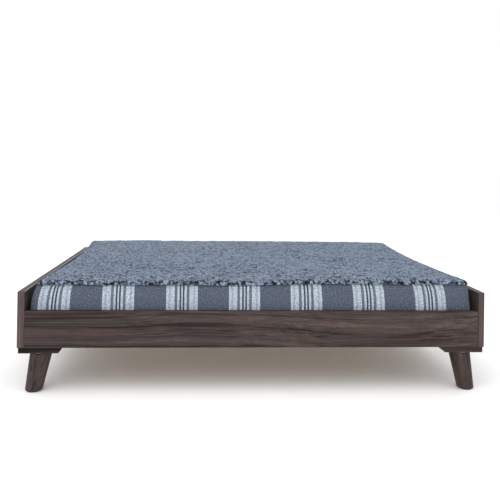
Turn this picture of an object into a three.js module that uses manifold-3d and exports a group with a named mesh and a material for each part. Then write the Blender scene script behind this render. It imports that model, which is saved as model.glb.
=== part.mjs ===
// Dog bed: a low wood-laminate frame on four splayed round legs, with a loose foam mattress in a
// zipped cover, which lies on a two-board deck inside the frame.
//
// Millimetres. +Z up, +X to the right, front face towards -Y. The origin is on the floor, under
// the middle of the bed.

import * as THREE from "three";
import { mergeVertices } from "three/addons/utils/BufferGeometryUtils.js";
import Module from "manifold-3d";

const wasm = await Module();
wasm.setup();

// ---- driving dimensions ------------------------------------------------------------------

const GAP = 0.3;                    // air between touching pieces
const FRAME_WIDTH = 1384;
const FRAME_DEPTH = 1115;
const BOARD = 20;                   // thickness of the panels and rails
const EDGE_EASE = 1.2;              // small chamfer round every board

const BLOCK_TOP = 135;              // underside of the frame
const PANEL_TOP = 299;
const RAIL_TOP = 242;

const BLOCK_SIDE = 127;
const BLOCK_THICK = 16;
const BLOCK_INSET = 3;              // back from the frame's outer faces
const BLOCK_CHAMFER = 12;

const PLATE_RADIUS = 20;
const PLATE_THICK = 2;
const TONGUE_WIDTH = 15;
const TONGUE_INSET = 0.8;           // tongue's end behind the leg's rim
const NOTCH_RADIUS = 16;            // round notch in the leg's rim, open at the top
const NOTCH_DEPTH = 5;
const LEG_TOP_RADIUS = 32;
const LEG_FOOT_RADIUS = 24.5;
const LEG_TOP_FROM_SIDE = 62;       // leg's top centre to the frame's outer side
const LEG_FOOT_FROM_SIDE = 40;
const LEG_FROM_FRONT = 40;
const GLIDE_RADIUS = 19;
const GLIDE_THICK = 3;
const BOLT_RADIUS = 4;
const BOLT_CLEARANCE = 0.4;
const BOLT_LOW = 80;                // height of the bolt's end inside the leg
const BOLT_BELOW_FRAME = 1.5;       // the bolt's other end, under the frame

const DECK_TOP = 209;
const DECK_THICK = 12;
const DECK_PLAY = 2;                // deck edge to the boards round it
const DECK_JOINT = 1;               // between the two deck boards
const CLEAT = 20;
const BEAM_WIDTH = 40;
const BEAM_HEIGHT = 42;
const BRACKET_THICK = 2;
const BRACKET_SHELF = 50;
const BRACKET_WIDTH = 30;

const CAM_RADIUS = 7.5;
const CAM_DEPTH = 12.5;
const CAM_FROM_END = 34;
const CAM_LOW = 156;                // heights of the two fittings at each corner joint
const CAM_BELOW_TOP = 18;
const CAM_SLOT = [9, 1.6, 2];       // length, width and depth of each arm of the cross-slot
const STUD_RADIUS = 3.5;
const STUD_IN_PANEL = 11;

const MATTRESS_WIDTH = 1328;
const MATTRESS_DEPTH = 1060;
const MATTRESS_BASE = 209.3;
const SEAM_HEIGHT = 315;            // where the plush top is sewn to the sides
const CROWN_HEIGHT = 327;
const MATTRESS_CORNER = 34;
const COVER = 3;                    // thickness of the cover cloth and its lining
const PLUSH_EDGE = 4;               // rounding of the plush top's edge

const ZIP_LENGTH = 1180;
const ZIP_WIDTH = 20;
const ZIP_THICK = 1.6;
const ZIP_HEIGHT = 305;             // centre line of the teeth, above the back panel
const SLIDER_LENGTH = 13;
const SLIDER_HEIGHT = 9;
const SLIDER_THICK = 4;
const PULL_LENGTH = 30;
const PULL_HEIGHT = 7;
const PULL_THICK = 2;
const SLIDER_REST = 575;            // the slider stands here when the zip is closed
const PIN_RADIUS = 1;
const EYE_RADIUS = 2.4;
const LUG_THICK = 1.4;
const LUG_HALF_WIDTH = 1.6;
const PIN_INSET = 0.2;              // pin's ends inside the lugs' outer faces

const HALF_W = FRAME_WIDTH / 2;
const HALF_D = FRAME_DEPTH / 2;
const INNER_W = HALF_W - BOARD;
const INNER_D = HALF_D - BOARD;
const BLOCK_LOW = BLOCK_TOP - GAP - BLOCK_THICK;
const LEG_TOP = BLOCK_LOW - GAP;
const LEG_LENGTH = Math.hypot(BLOCK_LOW, LEG_TOP_FROM_SIDE - LEG_FOOT_FROM_SIDE);
const ROUND = 24;                   // sides of a small round piece
const OVERCUT = 1;                  // how far a cutter runs past the face that it opens

// ---- colours -----------------------------------------------------------------------------

const WALNUT = { color: 0x4b4240, roughness: 0.55, metalness: 0 };
const DARK_WOOD = { color: 0x403a38, roughness: 0.6, metalness: 0 };
const DECK_BOARD = { color: 0x9a8266, roughness: 0.8, metalness: 0 };
const STEEL = { color: 0xb4b6b8, roughness: 0.35, metalness: 1 };
const ZINC = { color: 0xa9acae, roughness: 0.4, metalness: 1 };
const FELT = { color: 0x2a2a2a, roughness: 0.95, metalness: 0 };
const FOAM = { color: 0xe8dfc6, roughness: 0.9, metalness: 0 };
const SHERPA = { color: 0x5f6c7f, roughness: 1, metalness: 0 };
const STRIPED = { color: 0x58667b, roughness: 0.95, metalness: 0 };
const BASE_CLOTH = { color: 0x31363d, roughness: 0.95, metalness: 0 };
const ZIP_CLOTH = { color: 0x3b4350, roughness: 0.9, metalness: 0 };

// ---- solids ------------------------------------------------------------------------------

/** Two values, the lower one first. */
function between(a, b) {
  return [Math.min(a, b), Math.max(a, b)];
}

/** Closed three.js geometry to a manifold-3d solid. */
function solid(geometry) {
  const bare = geometry.index ? geometry.clone().toNonIndexed() : geometry.clone();
  bare.deleteAttribute("normal");
  bare.deleteAttribute("uv");
  const merged = mergeVertices(bare, 1e-4);
  return new wasm.Manifold(new wasm.Mesh({
    numProp: 3,
    vertProperties: new Float32Array(merged.attributes.position.array),
    triVerts: new Uint32Array(merged.index.array),
  }));
}

/** manifold-3d solid back to a three.js geometry. */
function geometryOf(manifold) {
  const mesh = manifold.getMesh();
  const geometry = new THREE.BufferGeometry();
  geometry.setAttribute("position", new THREE.BufferAttribute(mesh.vertProperties, 3));
  geometry.setIndex(new THREE.BufferAttribute(mesh.triVerts, 1));
  geometry.computeVertexNormals();
  return geometry;
}

/** Geometry with each cutter taken out of it. */
function cut(geometry, ...cutters) {
  return geometryOf(cutters.reduce((body, tool) => body.subtract(solid(tool)), solid(geometry)));
}

/** Box between two corners. */
function boxBetween(low, high) {
  const size = high.map((value, axis) => value - low[axis]);
  const box = new THREE.BoxGeometry(...size);
  return box.translate(...low.map((value, axis) => value + size[axis] / 2));
}

/** Board between two corners, its long edges and ends eased by a small chamfer. */
function board(low, high) {
  const ease = EDGE_EASE;
  const [sx, sy, sz] = high.map((value, axis) => value - low[axis]);
  const outline = new THREE.Shape();
  outline.moveTo(-sx / 2 + ease, -sy / 2 + ease);
  outline.lineTo(sx / 2 - ease, -sy / 2 + ease);
  outline.lineTo(sx / 2 - ease, sy / 2 - ease);
  outline.lineTo(-sx / 2 + ease, sy / 2 - ease);
  outline.closePath();
  const bevel = { bevelEnabled: true, bevelThickness: ease, bevelSize: ease, bevelSegments: 1 };
  const body = new THREE.ExtrudeGeometry(outline, { depth: sz - 2 * ease, ...bevel });
  return body.translate((low[0] + high[0]) / 2, (low[1] + high[1]) / 2, low[2] + ease);
}

/** Round bar from a point along a direction. */
function bar(start, direction, length, radius, sides = ROUND) {
  const axis = new THREE.Vector3(...direction).normalize();
  const body = new THREE.CylinderGeometry(radius, radius, length, sides);
  body.translate(0, length / 2, 0);
  body.applyQuaternion(new THREE.Quaternion().setFromUnitVectors(new THREE.Vector3(0, 1, 0), axis));
  return body.translate(...start);
}

/** Rounded rectangle centred on the origin. */
function roundedRectangle(width, depth, radius) {
  const [x, y] = [width / 2, depth / 2];
  const shape = new THREE.Shape();
  shape.moveTo(-x + radius, -y);
  shape.lineTo(x - radius, -y);
  shape.absarc(x - radius, -y + radius, radius, -Math.PI / 2, 0, false);
  shape.lineTo(x, y - radius);
  shape.absarc(x - radius, y - radius, radius, 0, Math.PI / 2, false);
  shape.lineTo(-x + radius, y);
  shape.absarc(-x + radius, y - radius, radius, Math.PI / 2, Math.PI, false);
  shape.lineTo(-x, -y + radius);
  shape.absarc(-x + radius, -y + radius, radius, Math.PI, Math.PI * 1.5, false);
  return shape;
}

/** Flat slab of an outline between two heights. */
function slab(shape, low, high) {
  const options = { depth: high - low, bevelEnabled: false, curveSegments: 6 };
  return new THREE.ExtrudeGeometry(shape, options).translate(0, 0, low);
}

// ---- the bed -----------------------------------------------------------------------------

const group = new THREE.Group();

/** Puts a named piece with its own material in the group. */
function add(name, geometry, look) {
  const mesh = new THREE.Mesh(geometry, new THREE.MeshStandardMaterial(look));
  mesh.name = name;
  group.add(mesh);
}

const SIDES = [["left", -1], ["right", 1]];
const ENDS = [["front", -1], ["back", 1]];
const CORNERS = ENDS.flatMap(([end, ey]) => SIDES.map(([side, sx]) => [`${end}_${side}`, sx, ey]));

// Each corner joint has two knock-down fittings: a cam let into the rail's inner face, and a
// stud that is screwed into the side panel and runs through the rail's end into the cam.
const FITTING_HEIGHTS = {
  front: { low: CAM_LOW, high: RAIL_TOP - CAM_BELOW_TOP },
  back: { low: CAM_LOW, high: PANEL_TOP - CAM_BELOW_TOP },
};
const fittings = [];
for (const [end, ey] of ENDS) {
  for (const [side, sx] of SIDES) {
    for (const [level, height] of Object.entries(FITTING_HEIGHTS[end])) {
      const name = `${end}_${side}_${level}`;
      const camX = sx * (INNER_W - CAM_FROM_END);
      fittings.push({ name, end, side, sx, ey, height, camX, boardY: ey * (HALF_D - BOARD / 2) });
    }
  }
}

/** Side panels: the full depth of the bed, bored for the studs. */
function sidePanels() {
  const depth = STUD_IN_PANEL + GAP + OVERCUT;
  for (const [side, sx] of SIDES) {
    const [near, far] = between(sx * INNER_W, sx * HALF_W);
    const panel = board([near, -HALF_D, BLOCK_TOP], [far, HALF_D, PANEL_TOP]);
    const bores = fittings.filter((f) => f.side === side).map((f) => bar(
      [sx * (INNER_W - OVERCUT), f.boardY, f.height], [sx, 0, 0], depth, STUD_RADIUS + GAP));
    add(`side_panel_${side}`, cut(panel, ...bores), WALNUT);
  }
}

/** Low front rail and full-height back panel between the side panels, bored for cams and studs. */
function crossBoards() {
  const ends = { front: ["front_rail", RAIL_TOP], back: ["back_panel", PANEL_TOP] };
  for (const [end, ey] of ENDS) {
    const [name, top] = ends[end];
    const [low, high] = between(ey * INNER_D, ey * HALF_D);
    const camBore = CAM_DEPTH + GAP + OVERCUT;
    const bores = fittings.filter((f) => f.end === end).flatMap((f) => [
      bar([f.camX, ey * (INNER_D - OVERCUT), f.height], [0, ey, 0], camBore, CAM_RADIUS + GAP),
      bar([f.camX, f.boardY, f.height], [f.sx, 0, 0], CAM_FROM_END + OVERCUT, STUD_RADIUS + GAP),
    ]);
    const whole = board([-INNER_W + GAP, low, BLOCK_TOP], [INNER_W - GAP, high, top]);
    add(name, cut(whole, ...bores), WALNUT);
  }
}

/** Cams with a cross-slot in the face, and the studs that they grip. */
function knockDownFittings() {
  const [slotLength, slotWidth, slotDepth] = CAM_SLOT;
  const start = 1;                  // the stud's end, past the cam's centre
  for (const f of fittings) {
    const along = [f.sx, 0, 0];
    const face = f.ey * INNER_D;
    const cam = bar([f.camX, face, f.height], [0, f.ey, 0], CAM_DEPTH, CAM_RADIUS);
    const [low, high] = between(face - f.ey * OVERCUT, face + f.ey * slotDepth);
    const slot = (width, height) => boxBetween([f.camX - width / 2, low, f.height - height / 2],
      [f.camX + width / 2, high, f.height + height / 2]);
    const grip = bar([f.camX, f.boardY, f.height], along, CAM_RADIUS + OVERCUT, STUD_RADIUS + GAP);
    add(`cam_${f.name}`, cut(cam, slot(slotLength, slotWidth), slot(slotWidth, slotLength), grip), ZINC);
    const length = CAM_FROM_END - start + STUD_IN_PANEL;
    const stud = bar([f.camX + f.sx * start, f.boardY, f.height], along, length, STUD_RADIUS, 16);
    add(`stud_${f.name}`, stud, STEEL);
  }
}

/** Leg centre at a height above the floor: the axis leans out towards the foot. */
function legCentre(sx, ey, height) {
  const rise = height / BLOCK_LOW;
  const fromSide = LEG_FOOT_FROM_SIDE + rise * (LEG_TOP_FROM_SIDE - LEG_FOOT_FROM_SIDE);
  return [sx * (HALF_W - fromSide), ey * (HALF_D - LEG_FROM_FRONT), height];
}

/** Square block under a corner of the frame, its two inner ends cut back to a slope. */
function cornerBlock(sx, ey) {
  const outerX = HALF_W - BLOCK_INSET;
  const outerY = HALF_D - BLOCK_INSET;
  const slope = (outer, sign) => {
    const shape = new THREE.Shape();
    shape.moveTo(sign * outer, BLOCK_LOW);
    shape.lineTo(sign * outer, BLOCK_LOW + BLOCK_THICK);
    shape.lineTo(sign * (outer - BLOCK_SIDE), BLOCK_LOW + BLOCK_THICK);
    shape.lineTo(sign * (outer - BLOCK_SIDE + BLOCK_CHAMFER), BLOCK_LOW);
    shape.closePath();
    return shape;
  };
  const options = { depth: BLOCK_SIDE, bevelEnabled: false };
  const across = new THREE.ExtrudeGeometry(slope(outerX, sx), options);
  across.rotateX(Math.PI / 2).translate(0, ey > 0 ? outerY : BLOCK_SIDE - outerY, 0);
  const along = new THREE.ExtrudeGeometry(slope(outerY, -ey), options);
  along.rotateX(Math.PI / 2).rotateZ(-Math.PI / 2);
  along.translate(sx > 0 ? outerX : BLOCK_SIDE - outerX, 0, 0);
  return solid(across).intersect(solid(along));
}

/** Tapered round leg on the leaning axis, cut level at the block and at the glide. */
function legBody(sx, ey, up) {
  const slack = 20;
  const taper = (LEG_TOP_RADIUS - LEG_FOOT_RADIUS) / LEG_LENGTH;
  const profile = [
    [0, -slack],
    [LEG_FOOT_RADIUS - taper * slack, -slack],
    [LEG_TOP_RADIUS + taper * slack, LEG_LENGTH + slack],
    [0, LEG_LENGTH + slack],
  ].map(([r, h]) => new THREE.Vector2(r, h));
  const body = new THREE.LatheGeometry(profile, 40);
  body.applyQuaternion(new THREE.Quaternion().setFromUnitVectors(new THREE.Vector3(0, 1, 0), up));
  body.translate(...legCentre(sx, ey, 0));
  const reach = LEG_TOP_RADIUS * 4;
  const [x, y] = legCentre(sx, ey, 0);
  const level = boxBetween([x - reach, y - reach, GLIDE_THICK + GAP], [x + reach, y + reach, LEG_TOP]);
  return solid(body).intersect(solid(level));
}

/** Corner blocks, leg plates, splayed legs, the bolts that hold them, and the felt glides. */
function legs() {
  for (const [corner, sx, ey] of CORNERS) {
    const [footX, footY] = legCentre(sx, ey, 0);
    const [topX, topY] = legCentre(sx, ey, LEG_TOP);
    const up = new THREE.Vector3(...legCentre(sx, ey, LEG_TOP)).sub(new THREE.Vector3(footX, footY, 0));
    up.normalize();
    const onAxis = (height) => legCentre(sx, ey, height);
    const boreLength = (BLOCK_TOP + OVERCUT - BOLT_LOW) / up.z + OVERCUT;
    const boreRadius = BOLT_RADIUS + BOLT_CLEARANCE;
    const boltBore = solid(bar(onAxis(BOLT_LOW - GAP), up.toArray(), boreLength, boreRadius));

    add(`corner_block_${corner}`, geometryOf(cornerBlock(sx, ey).subtract(boltBore)), DARK_WOOD);

    // The plate is a disc let into the leg's top, with a tongue that shows in a notch in the rim.
    const disc = bar([topX, topY, LEG_TOP - PLATE_THICK], [0, 0, 1], PLATE_THICK, PLATE_RADIUS, 32);
    const rim = topY + ey * (LEG_TOP_RADIUS - TONGUE_INSET);
    const [tongueLow, tongueHigh] = between(topY, rim);
    const tongue = boxBetween([topX - TONGUE_WIDTH / 2, tongueLow, LEG_TOP - PLATE_THICK],
      [topX + TONGUE_WIDTH / 2, tongueHigh, LEG_TOP]);
    const plate = solid(disc).add(solid(tongue)).subtract(boltBore);
    add(`leg_plate_${corner}`, geometryOf(plate), STEEL);

    const pocketLow = LEG_TOP - PLATE_THICK - GAP;
    const pocketDepth = PLATE_THICK + GAP + OVERCUT;
    const pocket = bar([topX, topY, pocketLow], [0, 0, 1], pocketDepth, PLATE_RADIUS + GAP, 32);
    const notchZ = LEG_TOP + NOTCH_RADIUS - NOTCH_DEPTH;
    const notch = bar([topX, topY, notchZ], [0, ey, 0], LEG_TOP_RADIUS + OVERCUT, NOTCH_RADIUS, 32);
    const leg = legBody(sx, ey, up).subtract(solid(pocket)).subtract(solid(notch));
    add(`leg_${corner}`, geometryOf(leg.subtract(boltBore)), WALNUT);

    const boltLength = (BLOCK_TOP - BOLT_BELOW_FRAME - BOLT_LOW) / up.z;
    add(`leg_bolt_${corner}`, bar(onAxis(BOLT_LOW), up.toArray(), boltLength, BOLT_RADIUS), ZINC);
    add(`foot_glide_${corner}`, bar([footX, footY, 0], [0, 0, 1], GLIDE_THICK, GLIDE_RADIUS, 32), FELT);
  }
}

/** Two deck boards on cleats all round, with a beam under their joint. */
function deck() {
  const cleatTop = DECK_TOP - DECK_THICK - GAP;
  const cleatLow = cleatTop - CLEAT;
  const x = INNER_W - GAP;
  const y = INNER_D - GAP;
  const beamEnd = y - CLEAT - GAP;
  for (const [side, sx] of SIDES) {
    const [near, far] = between(sx * DECK_JOINT / 2, sx * (INNER_W - DECK_PLAY));
    const deckY = INNER_D - DECK_PLAY;
    const half = board([near, -deckY, DECK_TOP - DECK_THICK], [far, deckY, DECK_TOP]);
    add(`deck_${side}`, half, DECK_BOARD);
    const [low, high] = between(sx * x, sx * (x - CLEAT));
    const cleat = board([low, -beamEnd, cleatLow], [high, beamEnd, cleatTop]);
    add(`cleat_${side}`, cleat, DECK_BOARD);
  }
  for (const [end, ey] of ENDS) {
    const [low, high] = between(ey * y, ey * (y - CLEAT));
    add(`cleat_${end}`, board([-x, low, cleatLow], [x, high, cleatTop]), DECK_BOARD);

    // An angle bracket screwed to the rail below the cleat carries the end of the beam.
    const shelfTop = cleatTop - BEAM_HEIGHT - GAP;
    const shelfLow = shelfTop - BRACKET_THICK;
    const shelfEnds = between(ey * y, ey * (y - BRACKET_SHELF));
    const wall = between(ey * y, ey * (y - BRACKET_THICK));
    const half = BRACKET_WIDTH / 2;
    const shelf = boxBetween([-half, shelfEnds[0], shelfLow], [half, shelfEnds[1], shelfTop]);
    const upright = boxBetween([-half, wall[0], shelfLow], [half, wall[1], cleatLow - GAP]);
    add(`beam_bracket_${end}`, geometryOf(solid(shelf).add(solid(upright))), ZINC);
  }
  const half = BEAM_WIDTH / 2;
  const beam = board([-half, -beamEnd, cleatTop - BEAM_HEIGHT], [half, beamEnd, cleatTop]);
  add("center_beam", beam, DECK_BOARD);
}

/** Foam block in a sewn cover: plush top, striped sides, plain base. */
function mattress() {
  const outline = (inset) => roundedRectangle(
    MATTRESS_WIDTH - 2 * inset, MATTRESS_DEPTH - 2 * inset, MATTRESS_CORNER - inset);
  const sideLow = MATTRESS_BASE + COVER + GAP;
  const sideHigh = SEAM_HEIGHT - GAP;
  add("cover_base", slab(outline(0), MATTRESS_BASE, MATTRESS_BASE + COVER), BASE_CLOTH);
  add("foam_core", slab(outline(COVER + GAP), sideLow, sideHigh), FOAM);
  const hollow = slab(outline(COVER), sideLow - OVERCUT, sideHigh + OVERCUT);
  add("cover_sides", cut(slab(outline(0), sideLow, sideHigh), hollow), STRIPED);
  const crown = new THREE.ExtrudeGeometry(outline(PLUSH_EDGE), {
    depth: CROWN_HEIGHT - SEAM_HEIGHT - 2 * PLUSH_EDGE, curveSegments: 6,
    bevelEnabled: true, bevelThickness: PLUSH_EDGE, bevelSize: PLUSH_EDGE, bevelSegments: 3,
  });
  add("cover_top", crown.translate(0, 0, SEAM_HEIGHT + PLUSH_EDGE), SHERPA);
}

/** Zip across the back of the cover, just under the seam, with a slider and a hinged pull. */
function zip() {
  const face = MATTRESS_DEPTH / 2 + GAP;
  const half = ZIP_LENGTH / 2;
  add("zip_tape", boxBetween([-half, face, ZIP_HEIGHT - ZIP_WIDTH / 2],
    [half, face + ZIP_THICK, ZIP_HEIGHT + ZIP_WIDTH / 2]), ZIP_CLOTH);

  const sliderFace = face + ZIP_THICK + GAP;
  const pinY = sliderFace + SLIDER_THICK + EYE_RADIUS + GAP;
  const pinX = SLIDER_REST;
  const body = boxBetween([pinX - SLIDER_LENGTH / 2, sliderFace, ZIP_HEIGHT - SLIDER_HEIGHT / 2],
    [pinX + SLIDER_LENGTH / 2, sliderFace + SLIDER_THICK, ZIP_HEIGHT + SLIDER_HEIGHT / 2]);
  const lugOut = PULL_HEIGHT / 2 + GAP;
  const lugEnd = lugOut + LUG_THICK;
  const lug = (low, high) => boxBetween(
    [pinX - LUG_HALF_WIDTH, sliderFace + SLIDER_THICK - OVERCUT, ZIP_HEIGHT + low],
    [pinX + LUG_HALF_WIDTH, pinY + PIN_RADIUS, ZIP_HEIGHT + high]);
  const pinHalf = lugEnd - PIN_INSET;
  const pin = bar([pinX, pinY, ZIP_HEIGHT - pinHalf], [0, 0, 1], 2 * pinHalf, PIN_RADIUS, 16);
  const lugs = solid(lug(-lugEnd, -lugOut)).add(solid(lug(lugOut, lugEnd)));
  add("zip_slider", geometryOf(solid(body).add(lugs).add(solid(pin))), ZINC);

  const eye = bar([pinX, pinY, ZIP_HEIGHT - PULL_HEIGHT / 2], [0, 0, 1], PULL_HEIGHT, EYE_RADIUS);
  const tab = boxBetween([pinX - PULL_LENGTH, pinY - PULL_THICK / 2, ZIP_HEIGHT - PULL_HEIGHT / 2],
    [pinX - PIN_RADIUS, pinY + PULL_THICK / 2, ZIP_HEIGHT + PULL_HEIGHT / 2]);
  const boreLow = ZIP_HEIGHT - PULL_HEIGHT;
  const bore = bar([pinX, pinY, boreLow], [0, 0, 1], 2 * PULL_HEIGHT, PIN_RADIUS + GAP);
  add("zip_pull", geometryOf(solid(eye).add(solid(tab)).subtract(solid(bore))), ZINC);
}

sidePanels();
crossBoards();
knockDownFittings();
legs();
deck();
mattress();
zip();

export default group;
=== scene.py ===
"""Dog bed with frame: a low walnut-laminate frame on splayed round legs, and a foam mattress in a
plush-topped, striped cover with a zip at the back.

Metres, +X right, +Z up, front towards -Y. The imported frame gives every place; the pieces here are
numpy surfaces fitted to its boxes."""

import bpy
import numpy as np
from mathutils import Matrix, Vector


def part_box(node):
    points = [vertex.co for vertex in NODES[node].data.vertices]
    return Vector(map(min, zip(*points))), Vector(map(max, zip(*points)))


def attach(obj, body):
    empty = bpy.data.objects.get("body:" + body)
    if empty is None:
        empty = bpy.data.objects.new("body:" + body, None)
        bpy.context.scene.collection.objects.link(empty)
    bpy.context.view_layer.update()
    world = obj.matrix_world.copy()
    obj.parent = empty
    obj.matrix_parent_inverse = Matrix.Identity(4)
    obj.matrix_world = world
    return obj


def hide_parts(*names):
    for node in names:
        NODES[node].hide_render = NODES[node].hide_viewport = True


bl_info = {
    "name": "Dog bed with frame",
    "version": (1, 0, 0),
    "blender": (4, 5, 0),
    "location": "3D View > Sidebar > Dog Bed",
    "description": "Builds the cover, legs, zip, fittings and finishes round the packed bed frame",
    "category": "Add Mesh",
}

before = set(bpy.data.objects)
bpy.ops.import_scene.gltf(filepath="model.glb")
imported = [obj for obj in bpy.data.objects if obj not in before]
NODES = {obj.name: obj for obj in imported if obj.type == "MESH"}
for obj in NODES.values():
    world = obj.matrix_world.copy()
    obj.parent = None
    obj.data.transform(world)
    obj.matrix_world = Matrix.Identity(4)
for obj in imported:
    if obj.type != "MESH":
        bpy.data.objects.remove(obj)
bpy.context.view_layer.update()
TAU = 2 * np.pi
SUN_SPREAD = 70.0
SUN_TURN = (32.0, -14.0, 0.0)
FLOOR_RADIUS = 14.0


def corners(node):
    """Lowest and highest corner of a frame node, as arrays."""
    low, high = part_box(node)
    return np.array(low), np.array(high)


TOP_LOW, TOP_HIGH = corners("cover_top")
SIDES_LOW, SIDES_HIGH = corners("cover_sides")
BASE_LOW, BASE_HIGH = corners("cover_base")
TAPE_LOW, TAPE_HIGH = corners("zip_tape")
FRONT_FACE = corners("side_panel_left")[0][1]
HALF_W, HALF_D = SIDES_HIGH[0], SIDES_HIGH[1]
SEAM_Z = SIDES_HIGH[2]
STRAIGHT_SHARE = 0.3
SETTLED_FROM = 0.22
SETTLED_OVER = 0.25
LEFT_FADE = 5
SLACK_CELL = 0.010
CLOTH_VOXEL = 0.009
CLOTH_FRAMES = 20
CLOTH_PRESSURE = 4.0
CLOTH_SLACK = -0.035
SIDE_SLACK_SHARE = 0.6
STRIP_WALL = 0.0025
# Where the side cloth was sewn on a little unevenly: place along the front, and the cloth's slip.
SEWN_UNEVEN = [(-0.59, -0.001), (-0.22, -0.001), (-0.03, 0.001), (0.16, 0.003), (0.34, 0.0), (0.53, -0.002)]
FOAM_INSET = 0.0075
PILE_STEP = 0.0023
PAD_RISE = 0.003                    # pad's level top over the frame's cover_top
LIP_OVER_SEAM = 0.0062
LIP_BULGE = 0.0032                  # how far the pad's edge stands out over the side
SHOULDER_ROUND = 0.013
LEVEL_RINGS = 9                     # rings of the pad's edge before its shoulder
STRIP_OVER_SEAM = 0.0058
STRIP_STEP = 0.0055
STRIP_ROWS = 31
STITCH_UNDER_SEAM = 0.0085
STITCH_RADIUS = 0.00045
STITCH_SHARE = 0.62                 # stitch's length to its pitch
LEG_FOOT_RADIUS = 0.0245
NOTCH_RADIUS = 0.016
NOTCH_DEPTH = 0.005
TOOTH_PITCH = 0.003
TOOTH_HALF_LENGTH = 0.0026
TOOTH_RADIUS = 0.0009
TOOTH_LEAN = 0.0003
STITCH_PITCH = 0.0052
SCREW_RADIUS = 0.0042
SCREW_DOME = 0.0018
RECESS_DEPTH = 0.0011


# ---- settings that a user would change -----------------------------------------------------


def length(name, about, default):
    """A setting in metres: one number, or three when the default has three."""
    kind = bpy.props.FloatVectorProperty if isinstance(default, tuple) else bpy.props.FloatProperty
    return kind(name=name, description=about, default=default, unit="LENGTH")


def colour(name, about, default):
    """A colour setting."""
    return bpy.props.FloatVectorProperty(
        name=name, description=about, default=default, subtype="COLOR", min=0, max=1)


def number(name, about, default, **limits):
    """A setting without a unit of length."""
    return bpy.props.FloatProperty(name=name, description=about, default=default, **limits)


class BedMattressSettings(bpy.types.PropertyGroup):
    """Shape of the soft cover."""

    corner: length("Corner radius", "Radius of the cover's upright corners", 0.016)
    shift: length("Shift", "How far to the right of the middle the mattress lies in the frame", 0.0)
    pull_left: length(
        "Pull-in, left", "How far the top seam pulls in at the left end: front, middle, back",
        (0.022, 0.040, 0.010))
    pull_right: length(
        "Pull-in, right", "How far the top seam pulls in at the right end: front, middle, back",
        (0.013, 0.031, 0.0))
    settled: length("Settled", "How much lower the front seam lies at the left", 0.005)
    pull_y: length(
        "Pull-in, front", "How far the top seam pulls in at the middle of the front", 0.005)
    crown: length("Crown", "Rise of the middle of the top over its edge", 0.004)
    tuft: length("Tuft size", "Width of one curl of the plush pile", 0.0054)
    pile: length("Pile relief", "Height of the curls over the backing", 0.0052)
    slack_cap: length(
        "Slack cap", "Farthest that the simulated cloth may leave its sewn shape", 0.006)


class BedStripeSettings(bpy.types.PropertyGroup):
    """Pattern and colours of the striped side cloth."""

    period: length("Period", "Distance between groups of stripes", 0.1884)
    centre: length("Centre", "Place of the middle group along the front", -0.0308)
    ground: colour("Ground", "Plain cloth between the groups", (0.071, 0.086, 0.118))
    pale: colour("Pale stripe", "Wide and narrow pale stripes", (0.345, 0.390, 0.450))
    grey: colour("Grey stripe", "Narrow grey stripes", (0.100, 0.119, 0.155))
    dark: colour("Dark stripe", "The two thin dark lines", (0.040, 0.049, 0.071))


class BedFinishSettings(bpy.types.PropertyGroup):
    """Colours of the plush and the wood."""

    # The darkest pile colour is painted shade: the low pile between the curls, the gaps among them and the
    # lip over the seam take it.
    pile_deep_shade: colour("Pile, deep", "Between the curls", (0.006, 0.008, 0.012))
    pile_mid: colour("Pile, middle", "Body of the curls", (0.060, 0.080, 0.114))
    pile_tip: colour("Pile, tips", "Tips of the curls", (0.200, 0.245, 0.315))
    wood_dark: colour("Wood, dark", "Dark grain of the laminate", (0.016, 0.0112, 0.0108))
    wood_light: colour("Wood, light", "Pale grain of the laminate", (0.078, 0.0575, 0.0530))


class BedStageSettings(bpy.types.PropertyGroup):
    """Camera and lights."""

    camera: length(
        "Camera", "Place of the camera from the middle of the front face",
        (-0.1528, -2.0333, 0.6659))
    turn: bpy.props.FloatVectorProperty(
        name="Turn", description="Turn of the camera about X, Y and Z, in degrees",
        default=(90.0, -0.82, -3.65))
    focal: number("Focal length", "Millimetres on a 36 mm sensor", 49.66)
    rise: number("Rise", "Upward shift of the lens, in widths of the picture", -0.1641)
    key: number("Key light", "Power of the large soft light in front", 34.0, unit="POWER")
    fill: number("Fill light", "Power of the light overhead", 14.0, unit="POWER")
    low: number("Low lights", "Power of the low, wide light in front", 26.0, unit="POWER")
    sky: number("Sky", "Strength of the even white light all round", 1.0)
    even: number("Even light", "Strength of the broad light that whitens the whole floor", 0.4)


def settings(name):
    """One of the scene's groups of settings."""
    return getattr(bpy.context.scene, name)


# ---- noise and curls as whole arrays -------------------------------------------------------


def hashed(cells, seed):
    """One number from 0 to 1 for each whole-number cell: an integer hash of its coordinates."""
    c = cells.astype(np.int64)
    h = c[..., 0] * 73856093 ^ c[..., 1] * 19349663 ^ c[..., 2] * 83492791 ^ seed * 2654435761
    h = (h ^ (h >> 13)) * 1274126177 & 0x7FFFFFFF
    h = (h ^ (h >> 15)) * 668265263 & 0x7FFFFFFF
    return (h & 0xFFFFF) / float(0xFFFFF)


def value_noise(points, size, seed):
    """Smooth noise from -1 to 1: cell-corner values, mixed by the smoothstep of the place between."""
    q = points / size
    base = np.floor(q)
    f = q - base
    f = f * f * (3 - 2 * f)
    total = np.zeros(len(points))
    for corner in np.ndindex(2, 2, 2):
        weight = np.prod(np.where(np.array(corner) == 1, f, 1 - f), axis=1)
        total += weight * hashed(base + corner, seed)
    return 2 * total - 1


def fractal(points, size, seed, octaves=3):
    """Sum of value noises, each half the size and half the height of the last."""
    return sum(value_noise(points, size / 2**i, seed + i) / 2**i for i in range(octaves))


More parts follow.
